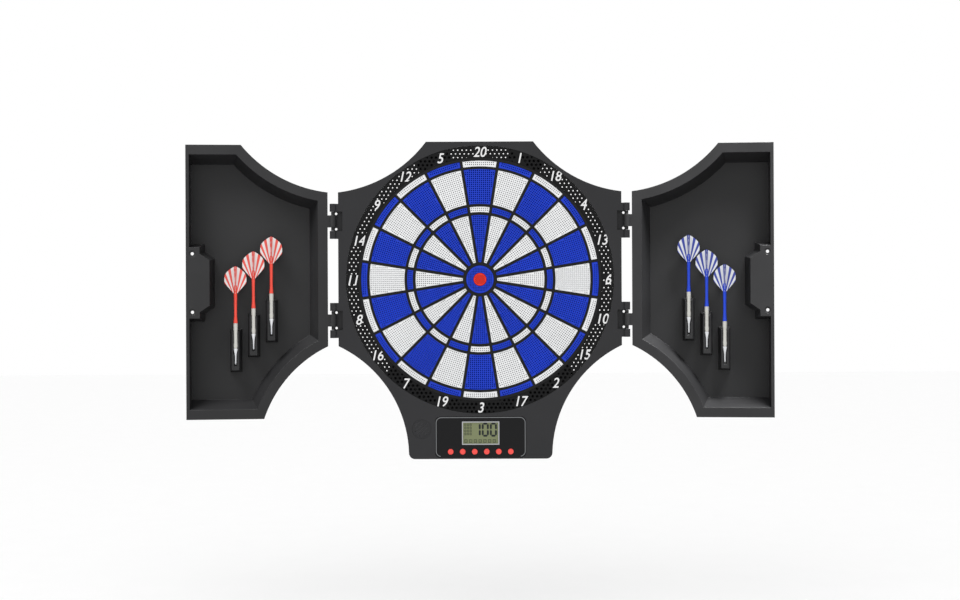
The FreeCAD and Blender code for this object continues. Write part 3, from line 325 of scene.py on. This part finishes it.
BLACK = srgb(38, 38, 40)
DOOR_BLACK = srgb(28, 28, 29)
MATERIALS = {
    "black_shell": plastic("black_shell", BLACK, 0.48, edge=0.8),
    "door_plastic": plastic("door_plastic", DOOR_BLACK, 0.46, edge=1.0),
    "ring_plastic": plastic("ring_plastic", srgb(15, 15, 16), 0.42, specular=0.15),
    "spider_plastic": plastic("spider_plastic", srgb(18, 18, 19), 0.45, edge=0.4, specular=0.2),
    "panel_gloss": plastic("panel_gloss", srgb(12, 12, 14), 0.16, depth=0.01, vary=0.05, edge=0.3,
                           specular=0.2),
    "bezel_grey": plastic("bezel_grey", srgb(176, 177, 179), 0.3, depth=0.03, edge=0.3),
    "display": plastic("display", srgb(120, 127, 90), 0.25, depth=0.01, vary=0.04, coat=0.3),
    "display_ink": plastic("display_ink", srgb(20, 28, 28), 0.35, depth=0.01),
    "display_faint": plastic("display_faint", srgb(50, 56, 38), 0.35, depth=0.01),
    "segment_blue": plastic("segment_blue", srgb(10, 54, 192), 0.38, grain=1500.0, depth=0.05, vary=0.08),
    "segment_white": plastic("segment_white", srgb(236, 237, 238), 0.42, grain=1500.0, depth=0.05,
                             vary=0.03),
    "bull_red": plastic("bull_red", srgb(226, 44, 28), 0.35, grain=1500.0, depth=0.05, vary=0.05),
    "button_red": plastic("button_red", srgb(244, 78, 70), 0.3, depth=0.03, vary=0.05, coat=0.3),
    "number_ink": plastic("number_ink", srgb(232, 232, 232), 0.45, depth=0.03, vary=0.02),
    "line_ink": plastic("line_ink", srgb(120, 122, 124), 0.4, depth=0.02, vary=0.03),
    "mat_rubber": plastic("mat_rubber", srgb(14, 14, 15), 0.85, grain=400.0, depth=0.4),
    "film": plastic("film", srgb(200, 205, 190), 0.3, depth=0.03),
    "grey_plastic": plastic("grey_plastic", srgb(110, 110, 108), 0.6, depth=0.2),
    "ribbon": plastic("ribbon", srgb(205, 204, 198), 0.4, depth=0.05),
    "speaker_metal": plastic("speaker_metal", srgb(60, 60, 62), 0.4, depth=0.2),
    "cell_label": plastic("cell_label", srgb(40, 44, 60), 0.3, depth=0.03, coat=0.3),
    "contact_brass": metal("contact_brass", srgb(214, 196, 140), 0.3),
    "steel": metal("steel", srgb(190, 190, 194), 0.32),
    "barrel_metal": metal("barrel_metal", srgb(205, 204, 198), 0.34, metallic=0.4),
    "tip_plastic": plastic("tip_plastic", srgb(230, 231, 234), 0.35, depth=0.03, vary=0.02),
    "shaft_red": plastic("shaft_red", srgb(240, 76, 60), 0.3, depth=0.03, vary=0.05, coat=0.3),
    "shaft_blue": plastic("shaft_blue", srgb(20, 66, 208), 0.3, depth=0.03, vary=0.05, coat=0.3),
    "flight_red": striped("flight_red", srgb(232, 78, 64), srgb(234, 230, 229), math.radians(11.5), 0.24),
    "flight_blue": striped("flight_blue", srgb(34, 56, 160), srgb(228, 230, 234), math.radians(11.5), 0.24),
    "pcb_green": lattice_board("pcb_green", srgb(14, 80, 40)),
}
NODE_MATERIALS = {
    "front_housing": "black_shell", "rear_cover": "black_shell", "battery_cover": "black_shell",
    "spider_frame": "spider_plastic", "left_door": "door_plastic", "right_door": "door_plastic",
    "console_panel": "panel_gloss", "lcd_bezel": "bezel_grey", "lcd_module": "display",
    "impact_mat": "mat_rubber", "sensor_membrane": "film", "backing_plate": "grey_plastic",
    "circuit_board": "pcb_green", "ribbon_cable": "ribbon", "speaker": "speaker_metal",
    "batteries": "cell_label", "battery_contacts": "contact_brass", "housing_screws": "steel",
    "hinge_pins": "steel",
}


def dress_frame():
    """Give every CAD node that stays its own procedural material."""
    for node, key in NODE_MATERIALS.items():
        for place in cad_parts[node].material_slots:
            place.material = MATERIALS[key]


# --- target -----------------------------------------------------------------

def node_points(node):
    """A CAD node's corners in millimetres."""
    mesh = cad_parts[node].data
    points = np.empty(len(mesh.vertices) * 3)
    mesh.vertices.foreach_get("co", points)
    return points.reshape(-1, 3) / MM


def segment_sizes(node):
    """Inner and outer radius, half gap, and the depths of a ring's segments, read from the CAD."""
    points = node_points(node)
    front, back = points[:, 1].min(), points[:, 1].max()
    face = points[points[:, 1] < front + 0.05]
    radii = np.hypot(face[:, 0], face[:, 2])
    angles = np.arctan2(face[:, 0], face[:, 2])
    folded = np.abs((angles / SECTOR + 0.5) % 1.0 - 0.5) * SECTOR
    inner = radii.min()
    spread = folded[radii < inner + 0.2].max()
    gap = inner * math.sin(SECTOR / 2 - spread)
    flange = points[(points[:, 1] > front + 1) & (points[:, 1] < back - 0.5)][:, 1].max()
    return inner, radii.max(), gap, front, flange, back


def segment_loop(r_in, r_out, gap, y):
    """Outline of one segment centred on the top, at one depth."""
    inner = SECTOR / 2 - math.asin(gap / r_in)
    outer = SECTOR / 2 - math.asin(gap / r_out)
    steps_in = max(2, round(r_in * inner / 2.5))
    steps_out = max(4, round(r_out * outer / 2.5))
    points = []
    for k in range(steps_in + 1):
        angle = inner - 2 * inner * k / steps_in
        points.append((r_in * math.sin(angle), y, r_in * math.cos(angle)))
    for k in range(steps_out + 1):
        angle = -outer + 2 * outer * k / steps_out
        points.append((r_out * math.sin(angle), y, r_out * math.cos(angle)))
    return points


def same_count_loops(r_in, r_out, gap, depths, insets):
    """The outline at several depths and insets, all with the same number of points."""
    base = segment_loop(r_in, r_out, gap, 0.0)
    inner = SECTOR / 2 - math.asin(gap / r_in)
    outer = SECTOR / 2 - math.asin(gap / r_out)
    loops = []
    for y, inset in zip(depths, insets):
        a, b = r_in + inset, r_out - inset
        near = SECTOR / 2 - math.asin((gap + inset) / a)
        far = SECTOR / 2 - math.asin((gap + inset) / b)
        loop = []
        for x, _, z in base:
            radius, angle = math.hypot(x, z), math.atan2(x, z)
            on_inner = radius < (r_in + r_out) / 2
            new_radius = a if on_inner else b
            new_angle = angle / inner * near if on_inner else angle / outer * far
            loop.append((new_radius * math.sin(new_angle), y, new_radius * math.cos(new_angle)))
        loops.append(loop)
    return loops


def hole_centres(r_in, r_out, gap, margin):
    """A square grid in a segment, as far from its edges as margin."""
    middle = (r_in + r_out) / 2
    rows = int((r_out - r_in) / 2 / HOLE_PITCH) + 2
    shift = 0.5 if (r_out - r_in) < 4 * HOLE_PITCH else 0.0
    columns = int(r_out * SECTOR / 2 / HOLE_PITCH) + 2
    centres = []
    for i in range(-columns, columns + 1):
        for j in range(-rows - 1, rows + 1):
            x, z = i * HOLE_PITCH, middle + (j + shift) * HOLE_PITCH
            radius, angle = math.hypot(x, z), abs(math.atan2(x, z))
            to_side = radius * math.sin(SECTOR / 2 - angle) - gap
            if radius - r_in > margin and r_out - radius > margin and to_side > margin:
                centres.append((x, z))
    return centres


def pierced(build, loops, centres, front, back):
    """A block with dart holes right through: outline loops from front to back, and the holes."""
    outlines = [build.add(loop) for loop in loops]
    mouths = [build.add(circle_points(x, z, HOLE_MOUTH, front, HOLE_SIDES)) for x, z in centres]
    throats = [build.add(circle_points(x, z, HOLE_RADIUS, front + 0.5, HOLE_SIDES)) for x, z in centres]
    ends = [build.add(circle_points(x, z, HOLE_RADIUS, back, HOLE_SIDES)) for x, z in centres]
    for one, two in zip(outlines, outlines[1:]):
        build.band(one, two)
    for mouth, throat, end in zip(mouths, throats, ends):
        build.band(mouth, throat, flip=True)
        build.band(throat, end, flip=True)
    build.sheet(outlines[0], mouths)
    build.sheet(outlines[-1], ends, flip=True)


def ring_pieces(ring, colours):
    """Both colours of one ring of segments."""
    first = f"{ring}_{colours[0]}"
    r_in, r_out, gap, front, flange, back = segment_sizes(first)
    depths = (front, front + 0.12, front + 0.5, flange, flange, back)
    insets = (0.5, 0.15, 0.0, 0.0, -0.7, -0.7)
    loops = same_count_loops(r_in, r_out, gap, depths, insets)
    template = Build()
    pierced(template, loops, hole_centres(r_in, r_out, gap, 1.75), front, back)
    for offset, colour in enumerate(colours):
        group = Build()
        for k in range(offset, 20, 2):
            start = len(group.verts)
            group.verts.extend(rotated(template.verts, k * SECTOR))
            group.faces.extend(tuple(start + i for i in face) for face in template.faces)
        key = f"segment_{colour}"
        mesh_from(f"{ring}_{colour}_segments", group.verts, group.faces, f"{ring}_{colour}",
                  MATERIALS[key], (f"{ring}_{colour}",))


def bull_pieces():
    """Outer bull with its raised rim, and the red inner bull."""
    points = node_points("bull_outer")
    front, back = points[:, 1].min(), points[:, 1].max()
    radii = np.hypot(points[:, 0], points[:, 2])
    face = radii[points[:, 1] < front + 0.05]
    r_in, r_out = face.min(), face.max()
    inner_edge = node_points("bull_inner")
    r_bull = np.hypot(inner_edge[:, 0], inner_edge[:, 2])[inner_edge[:, 1] < front + 0.05].max()
    build = Build()
    sides = 96

    def loop(radius, y):
        return build.add(circle_points(0, 0, radius, y, sides))
    rim = [loop(r_out - 1.3, front + 0.3), loop(r_out - 1.0, front), loop(r_out - 0.35, front),
           loop(r_out, front + 0.35), loop(r_out, back)]
    well = [loop(r_in, back), loop(r_in, front + 0.5), loop(r_in + 0.2, front + 0.3)]
    for one, two in zip(rim, rim[1:]):
        build.band(one, two, flip=True)
    for one, two in zip(well, well[1:]):
        build.band(one, two, flip=True)
    build.band(rim[-1], well[0], flip=True)
    centres = grid_in_ring(r_in + 1.7, r_out - 2.6, HOLE_PITCH * 0.8)
    mouths = [build.add(circle_points(x, z, 0.95, front + 0.3, HOLE_SIDES)) for x, z in centres]
    ends = [build.add(circle_points(x, z, 0.7, front + 4.0, HOLE_SIDES)) for x, z in centres]
    for mouth, end in zip(mouths, ends):
        build.band(mouth, end, flip=True)
        build.faces.append(tuple(end[::-1]))
    annulus_sheet(build, rim[0], well[-1], mouths)
    mesh_from("bull_outer_ring", build.verts, build.faces, "bull_outer",
              MATERIALS["segment_blue"], ("bull_outer",))
    disc = Build()
    profile = ((r_bull - 0.9, front + 0.25), (r_bull - 0.65, front), (r_bull - 0.25, front),
               (r_bull, front + 0.3), (r_bull, back))
    loops = [disc.add(circle_points(0, 0, radius, y, 64)) for radius, y in profile]
    for one, two in zip(loops, loops[1:]):
        disc.band(one, two, flip=True)
    turn = math.radians(45)
    centres = [(x * math.cos(turn) - z * math.sin(turn), x * math.sin(turn) + z * math.cos(turn))
               for x, z in grid_in_ring(-1.0, r_bull - 1.9, HOLE_PITCH * 0.75)]
    mouths = [disc.add(circle_points(x, z, 0.85, front + 0.25, HOLE_SIDES)) for x, z in centres]
    ends = [disc.add(circle_points(x, z, 0.65, front + 4.0, HOLE_SIDES)) for x, z in centres]
    for mouth, end in zip(mouths, ends):
        disc.band(mouth, end, flip=True)
        disc.faces.append(tuple(end[::-1]))
    disc.sheet(loops[0], mouths)
    disc.faces.append(tuple(loops[-1]))
    mesh_from("bull_inner_disc", disc.verts, disc.faces, "bull_inner",
              MATERIALS["bull_red"], ("bull_inner",))


def grid_in_ring(inner, outer, pitch):
    """A square grid between two radii."""
    reach = int(outer / pitch) + 1
    spots = [(i * pitch, j * pitch) for i in range(-reach, reach + 1) for j in range(-reach, reach + 1)]
    return [(x, z) for x, z in spots if inner < math.hypot(x, z) < outer]


def annulus_sheet(build, outer, inner, holes):
    """A flat ring with holes: the inner loop is one more hole."""
    build.sheet(outer, [inner, *holes])


def number_ring():
    """Perforated ring: a triangular lattice of tapered holes through the plate."""
    points = node_points("number_ring")
    front, back = points[:, 1].min(), points[:, 1].max()
    radii = np.hypot(points[:, 0], points[:, 2])
    face = radii[points[:, 1] < front + 0.05]
    r_in, r_out = face.min(), face.max()
    across, up, offset = 7.205, 6.184, -2.25
    widest, narrowest, web, taper = 2.55, 0.9, 0.3, 0.46
    middle = (r_in + r_out) / 2
    plates = number_plates(middle)
    holes = []
    rows, columns = int(r_out / up) + 1, int(r_out / across) + 2
    for j in range(-rows, rows + 1):
        for i in range(-columns, columns + 1):
            x, z = (i + 0.5 * ((j + 1) % 2)) * across, j * up + offset
            radius = math.hypot(x, z)
            mouth = min(widest, radius - r_in - web, r_out - radius - web)
            covered = any(abs(x - px) < half and abs(z - pz) < 8.0 for px, pz, half in plates)
            if mouth > narrowest and not covered:
                holes.append((x, z, mouth))
    build = Build()
    sides = 240
    loops = [build.add(circle_points(0, 0, radius, y, sides)) for radius, y in
             ((r_in, back), (r_in, front), (r_out, front), (r_out, back))]
    build.band(loops[0], loops[1], flip=True)
    build.band(loops[2], loops[3], flip=True)
    mouths = [build.add(circle_points(x, z, mouth, front, 12)) for x, z, mouth in holes]
    waists = [build.add(circle_points(x, z, mouth * taper, front + 1.6, 12)) for x, z, mouth in holes]
    ends = [build.add(circle_points(x, z, mouth * taper, back, 12)) for x, z, mouth in holes]
    for one, two, three in zip(mouths, waists, ends):
        build.band(one, two, flip=True)
        build.band(two, three, flip=True)
    annulus_sheet(build, loops[2], loops[1], mouths)
    build.sheet(loops[3], [loops[0], *ends], flip=True)
    mesh_from("number_ring_lattice", build.verts, build.faces, "board",
              MATERIALS["ring_plastic"], ("number_ring",))
    return middle, front


def number_plates(radius):
    """The middle of each number, with half its width: the plate is whole behind it."""
    spots = []
    for k, number in enumerate(RING_ORDER):
        angle = k * SECTOR
        half = 4.6 if number < 10 else 8.6
        spots.append((radius * math.sin(angle), radius * math.cos(angle), half))
    return spots


def text_piece(name, words, x, z, y, height, thickness, body, material, shear=0.0, bold=0.0,
               squeeze=1.0):
    """Upright letters facing the front, centred on a place."""
    curve = bpy.data.curves.new(name, "FONT")
    curve.body = words
    curve.size = height * MM * 1.37
    curve.shear = shear
    curve.offset = bold * MM
    curve.extrude = thickness / 2 * MM
    curve.resolution_u = 6
    curve.align_x = "CENTER"
    curve.space_character = 1.0
    piece = bpy.data.objects.new(name, curve)
    bpy.context.scene.collection.objects.link(piece)
    piece.rotation_euler = (math.radians(90), 0, 0)
    piece.scale = (squeeze, 1, 1)
    piece.location = (x * MM, (y - thickness / 2) * MM, (z - height / 2) * MM)
    curve.materials.append(material)
    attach(piece, body)
    return piece


def numbers(radius, front):
    """The twenty numbers, upright, in the middle of their sectors."""
    for k, number in enumerate(RING_ORDER):
        angle = k * SECTOR
        x, z = radius * math.sin(angle), radius * math.cos(angle)
        text_piece(f"number_{number}", str(number), x, z, front, 17.2, 0.3, "board",
                   MATERIALS["number_ink"], shear=0.24, bold=0.22, squeeze=0.88)


# --- console ----------------------------------------------------------------

def flat_frame(build, x0, x1, z0, z1, width, y_front, y_back):
    """A rectangular frame of small square section."""
    outer = [(x0, z0), (x1, z0), (x1, z1), (x0, z1)]
    left, right, low, high = x0 + width, x1 - width, z0 + width, z1 - width
    inner = [(left, low), (right, low), (right, high), (left, high)]
    loops = [build.add([(x, y, z) for x, z in ring]) for ring, y in
             ((outer, y_back), (outer, y_front), (inner, y_front), (inner, y_back))]
    for one, two in zip(loops, loops[1:]):
        build.band(one, two, flip=True)


def box_faces(build, x0, x1, z0, z1, y_front, y_back):
    """A thin closed box."""
    corners = [(x0, z0), (x1, z0), (x1, z1), (x0, z1)]
    near = build.add([(x, y_front, z) for x, z in corners])
    far = build.add([(x, y_back, z) for x, z in corners])
    build.band(near, far, flip=True)
    build.faces.append(tuple(near))
    build.faces.append(tuple(far[::-1]))


def segment_bar(build, x0, z0, x1, z1, width, y_front, y_back):
    """One bar of a seven-segment digit, with pointed ends."""
    along = Vector((x1 - x0, z1 - z0))
    length = along.length
    along.normalize()
    side = Vector((-along.y, along.x)) * (width / 2)
    start, end = Vector((x0, z0)), Vector((x1, z1))
    tip = along * (width / 2)
    shape = [start, start + tip - side, end - tip - side, end, end - tip + side, start + tip + side]
    if length < width:
        return
    near = build.add([(p.x, y_front, p.y) for p in shape])
    far = build.add([(p.x, y_back, p.y) for p in shape])
    build.band(near, far, flip=True)
    build.faces.append(tuple(near))
    build.faces.append(tuple(far[::-1]))


DIGIT_BARS = {"0": "abcdef", "1": "bc"}


def digit(build, shape, x, z, width, height, bar, y_front, y_back):
    """A seven-segment digit whose lower left corner is at x, z."""
    half = height / 2
    ends = {
        "a": (0, height, width, height), "b": (width, half, width, height), "c": (width, 0, width, half),
        "d": (0, 0, width, 0), "e": (0, 0, 0, half), "f": (0, half, 0, height),
    }
    for name in DIGIT_BARS[shape]:
        a, b, c, d = ends[name]
        gap = 0.35
        if a == c:
            segment_bar(build, x + a, z + b + gap, x + c, z + d - gap, bar, y_front, y_back)
        else:
            segment_bar(build, x + a + gap, z + b, x + c - gap, z + d, bar, y_front, y_back)


def display():
    """Dark digits and faint unlit cells on the display."""
    low, high = (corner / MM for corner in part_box("lcd_bezel"))
    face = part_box("lcd_module")[0].y / MM
    left, right, bottom, top = low.x + 2.0, high.x - 2.0, low.z + 2.0, high.z - 2.0
    width, height = right - left, top - bottom
    ink = Build()
    y_front, y_back = face - 0.12, face + 0.02
    tall = height * 0.58
    wide = tall * 0.42
    base = top - tall - height * 0.05
    for k, shape in enumerate("100"):
        x = right - (3 - k) * (wide + 5.0) + 1.4
        digit(ink, shape, x, base, wide, tall, 3.2, y_front, y_back)
    mesh_from("display_digits", ink.verts, ink.faces, "board", MATERIALS["display_ink"])
    faint = Build()
    for row in range(4):
        for column in range(3):
            x, z = left + 2.2 + column * 4.3, top - 5.6 - row * 5.0
            flat_frame(faint, x, x + 3.0, z, z + 3.8, 0.7, y_front, y_back)
            box_faces(faint, x + 0.5, x + 2.5, z + 1.7, z + 2.1, y_front, y_back)
    for column in range(7):
        x, z = left + 2.0 + column * (width - 3) / 7, bottom + 1.3
        flat_frame(faint, x, x + 5.0, z, z + 5.4, 0.8, y_front, y_back)
        box_faces(faint, x + 1.0, x + 4.0, z + 2.4, z + 2.9, y_front, y_back)
    mesh_from("display_cells", faint.verts, faint.faces, "board", MATERIALS["display_faint"])


def panel_line():
    """Thin printed outline round the panel, open along the bottom."""
    low, high = (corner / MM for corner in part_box("console_panel"))
    half, bottom, top, radius = high.x - 1.4, low.z + 2.2, high.z - 1.6, 8.5
    path = []

    def corner(x, z, start, end):
        for k in range(13):
            angle = math.radians(start + (end - start) * k / 12)
            path.append((x + radius * math.cos(angle), z + radius * math.sin(angle)))
    corner(-half + radius, bottom + radius, 262, 180)
    corner(-half + radius, top - radius, 180, 90)
    corner(half - radius, top - radius, 90, 0)
    corner(half - radius, bottom + radius, 0, -82)
    build = Build()
    width = 0.55
    rows = []
    for i, (x, z) in enumerate(path):
        before, after = path[max(i - 1, 0)], path[min(i + 1, len(path) - 1)]
        along = Vector((after[0] - before[0], after[1] - before[1])).normalized()
        side = Vector((-along.y, along.x)) * width
        y_front, y_back = low.y - 0.06, low.y + 0.02
        rows.append(build.add([(x + side.x, y_back, z + side.y), (x + side.x, y_front, z + side.y),
                               (x - side.x, y_front, z - side.y), (x - side.x, y_back, z - side.y)]))
    for one, two in zip(rows, rows[1:]):
        build.band(one, two)
    build.faces.append(tuple(rows[0][::-1]))
    build.faces.append(tuple(rows[-1]))
    mesh_from("panel_outline", build.verts, build.faces, "board", MATERIALS["line_ink"])


def buttons():
    """Six domed push buttons."""
    for k in range(1, 7):
        low, high = (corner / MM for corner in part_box(f"button_{k}"))
        x, z = (low.x + high.x) / 2, (low.z + high.z) / 2
        flange = (high.x - low.x) / 2
        radius = flange - 1.0
        front, back = low.y, high.y
        skirt = front + 3.6
        rings = [(radius * 0.35, front), (radius * 0.7, front + 0.12), (radius * 0.9, front + 0.45),
                 (radius, front + 1.1), (radius, skirt), (flange, skirt), (flange, skirt + 1.2),
                 (2.0, skirt + 1.2), (2.0, back)]
        build = Build()
        loops = [build.add(circle_points(x, z, r, y, 48)) for r, y in rings]
        for one, two in zip(loops, loops[1:]):
            build.band(one, two, flip=True)
        build.faces.append(tuple(loops[0]))
        build.faces.append(tuple(loops[-1][::-1]))
        mesh_from(f"button_{k}_cap", build.verts, build.faces, f"button_{k}",
                  MATERIALS["button_red"], (f"button_{k}",), smooth=True)


# --- darts ------------------------------------------------------------------

def dart_base(name):
    """The point of a dart: the middle of its tip node, at its lowest height."""
    low, high = (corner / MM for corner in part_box(name + "_tip"))
    return Vector(((low.x + high.x) / 2, (low.y + high.y) / 2, low.z))


def knurl(angle, height):
    """Diamond knurling on the middle of the barrel."""
    if not 12.0 < height < 28.0:
        return 0.0
    return 0.13 * (math.cos(14 * angle + height * 2.6) * math.cos(14 * angle - height * 2.6))


def tip_profile():
    """Soft tip: rounded point, parallel shank, flared collar."""
    return ((0.35, 0.0), (0.9, 0.25), (1.2, 0.8), (1.3, 6.0), (1.45, 13.0), (1.9, 17.0), (2.9, 22.0),
            (3.55, 24.6), (3.6, 25.2), (3.5, 25.9), (2.1, 26.0), (2.1, 31.5))


def barrel_profile():
    """Barrel: neck, bulb, waist with knurling and ring grooves, collar at the shaft."""
    profile = [(2.3, 0.1), (2.9, 0.12), (3.1, 0.8), (3.75, 3.0), (3.8, 5.0), (3.78, 7.0), (3.4, 9.0),
               (3.25, 11.0)]
    profile += [(3.35, 12.0 + 0.5 * k) for k in range(32)]
    profile += [(3.3, 28.5), (3.1, 29.0), (3.1, 29.6), (3.45, 30.2), (3.6, 31.5), (3.7, 34.0), (3.75, 40.5),
                (3.6, 41.6), (3.3, 41.95), (2.1, 41.98)]
    return profile


def shaft_profile(length):
    """Shaft: flared foot, slim waist, split top."""
    return ((3.1, 0.05), (3.35, 0.5), (3.35, 2.0), (3.05, 5.0), (2.6, 10.0), (2.45, 15.0), (2.45, 34.0),
            (2.65, 42.0), (2.7, 46.0), (2.7, length - 5.0), (2.4, length - 1.5), (1.8, length - 0.2),
            (1.1, length))


def flight_half(height, length, half):
    """Half width of a flight at a height above its foot: straight sides, wide shoulders and a low point."""
    t = height / length
    shoulder = half - 0.5
    if t < 0.40:
        return 0.6 + (shoulder - 0.6) * t / 0.40
    if t < 0.66:
        return shoulder + 0.5 * math.sin(math.pi * (t - 0.40) / 0.26)
    return shoulder * (1 - min((t - 0.66) / 0.34, 1.0) ** 1.6) ** 0.85


def flight(name, base, start, length, half, spin, slot):
    """Four thin vanes in a cross, with a UV map in millimetres for the print."""
    build = Build()
    flat = []
    rows, thickness = 28, 0.42
    for turn in (0.0, math.pi / 2):
        across = Vector((math.cos(spin + turn), math.sin(spin + turn), 0))
        normal = Vector((-across.y, across.x, 0)) * (thickness / 2)
        lines = []
        for k in range(rows + 1):
            height = length * k / rows
            reach = max(flight_half(height, length, half), 0.25)
            line = []
            for step in range(-4, 5):
                offset = reach * step / 4
                point = base + across * offset + Vector((0, 0, start + height))
                line.append((point, (offset, height)))
            lines.append(line)
        sides = []
        for sign in (1, -1):
            grid = []
            for line in lines:
                grid.append(build.add([point + normal * sign for point, _ in line]))
                flat.extend(place for _, place in line)
            sides.append(grid)
            for low, high in zip(grid, grid[1:]):
                for i in range(len(low) - 1):
                    quad = (low[i], low[i + 1], high[i + 1], high[i])
                    build.faces.append(quad if sign < 0 else quad[::-1])
        near, far = sides
        edge, other = ([line[0] for line in grid] + grid[-1][1:] + [line[-1] for line in grid[-2::-1]]
                       for grid in (near, far))
        for i in range(len(edge) - 1):
            build.faces.append((edge[i], edge[i + 1], other[i + 1], other[i]))
    piece = mesh_from(f"{name}_vanes", build.verts, build.faces, name, MATERIALS[slot],
                      (f"{name}_flight",))
    layer = piece.data.uv_layers.new(name="flight")
    for loop in piece.data.loops:
        across, up = flat[loop.vertex_index]
        layer.data[loop.index].uv = (across, up + 7.0)
    return piece


def dart(side, k, colour):
    """One dart: tip, knurled barrel, shaft and flight."""
    name = f"{side}_dart_{k}"
    base = dart_base(name)
    barrel_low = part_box(name + "_barrel")[0].z / MM - base.z
    flight_low, flight_high = (corner.z / MM - base.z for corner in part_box(name + "_flight"))
    barrel_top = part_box(name + "_barrel")[1].z / MM - base.z
    lathe(f"{name}_point", tip_profile(), base, name, MATERIALS["tip_plastic"],
          (f"{name}_tip",))
    lathe(f"{name}_grip", barrel_profile(), base + Vector((0, 0, barrel_low)), name,
          MATERIALS["barrel_metal"], (f"{name}_barrel",), sides=56, ripple=knurl)
    stem = shaft_profile(flight_low + SHAFT_IN_FLIGHT - barrel_top)
    lathe(f"{name}_stem", stem, base + Vector((0, 0, barrel_top)), name,
          MATERIALS[f"shaft_{colour}"], (f"{name}_shaft",), sides=24)
    spin = math.radians(6 if side == "left" else -6)
    low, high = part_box(name + "_flight")
    half = (high.x - low.x) / 2 / MM - 0.1
    flight(name, base, flight_low, flight_high - flight_low, half, spin, f"flight_{colour}")


def darts():
    """Three darts on each door."""
    for side, colour in (("left", "red"), ("right", "blue")):
        for k in (1, 2, 3):
            dart(side, k, colour)


# --- surroundings -----------------------------------------------------------

def studio():
    """Pale floor and backdrop, and soft lights."""
    low, high = size_at_load
    middle = (low + high) / 2
    bpy.ops.mesh.primitive_plane_add(size=14, location=(middle.x, 0, low.z - 0.28))
    floor = bpy.context.object
    floor.name = "studio_floor"
    floor.data.materials.append(plastic("floor_paper", srgb(252, 252, 252), 0.9, depth=0.02, vary=0.005))
    world = bpy.context.scene.world or bpy.data.worlds.new("studio")
    bpy.context.scene.world = world
    world.use_nodes = True
    world.node_tree.nodes["Background"].inputs["Color"].default_value = (1, 1, 1, 1)
    world.node_tree.nodes["Background"].inputs["Strength"].default_value = 1.0
    area_light("key", (-0.5, -1.7, 1.9), (0, 0, 0), 1.6, 7)
    door_light("right_door", (1.0, -0.6, 2.1), (0.3, 0, -0.1), 300)
    door_light("left_door", (-1.2, -0.8, 1.7), (-0.3, 0, -0.1), 85)
    door_light("right_door", (0.0, -1.3, -1.4), (0.3, 0, 0), 50)
    door_light("left_door", (0.0, -1.3, -1.4), (-0.3, 0, 0), 30)
    bpy.context.scene.view_settings.view_transform = "Standard"


def door_light(node, place, aim, power):
    """A softbox that lights one door's tray and nothing else."""
    lit = bpy.data.collections.new(f"lit_{node}")
    lit.objects.link(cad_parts[node])
    lamp = area_light(f"{node}_light", place, aim, 0.9, power)
    lamp.light_linking.receiver_collection = lit


def area_light(name, place, aim, size, power):
    """A square softbox pointed at a place."""
    data = bpy.data.lights.new(name, "AREA")
    data.size = size
    data.energy = power
    lamp = bpy.data.objects.new(name, data)
    bpy.context.scene.collection.objects.link(lamp)
    lamp.location = place
    lamp.rotation_euler = (Vector(aim) - Vector(place)).to_track_quat("-Z", "Y").to_euler()
    return lamp


def camera():
    """A distant camera at bull height, nearly straight on."""
    distance, view_width = 2.6, 1.585
    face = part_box("front_housing")[0].y
    data = bpy.data.cameras.new("camera")
    data.sensor_width = 36.0
    data.lens = data.sensor_width * distance / view_width
    data.shift_y = -0.0215
    data.clip_end = 60
    eye = bpy.data.objects.new("camera", data)
    bpy.context.scene.collection.objects.link(eye)
    upright = Matrix.Rotation(math.radians(90), 4, "X")
    roll = Matrix.Rotation(math.radians(-0.25), 4, "Z")
    eye.matrix_world = Matrix.Translation((0.0, face - distance, 0.0)) @ upright @ roll
    bpy.context.scene.camera = eye


dress_frame()
ring_pieces("double", ("white", "blue"))
ring_pieces("outer_single", ("blue", "white"))
ring_pieces("triple", ("white", "blue"))
ring_pieces("inner_single", ("blue", "white"))
bull_pieces()
numbers(*number_ring())
display()
panel_line()
buttons()
darts()
studio()
camera()
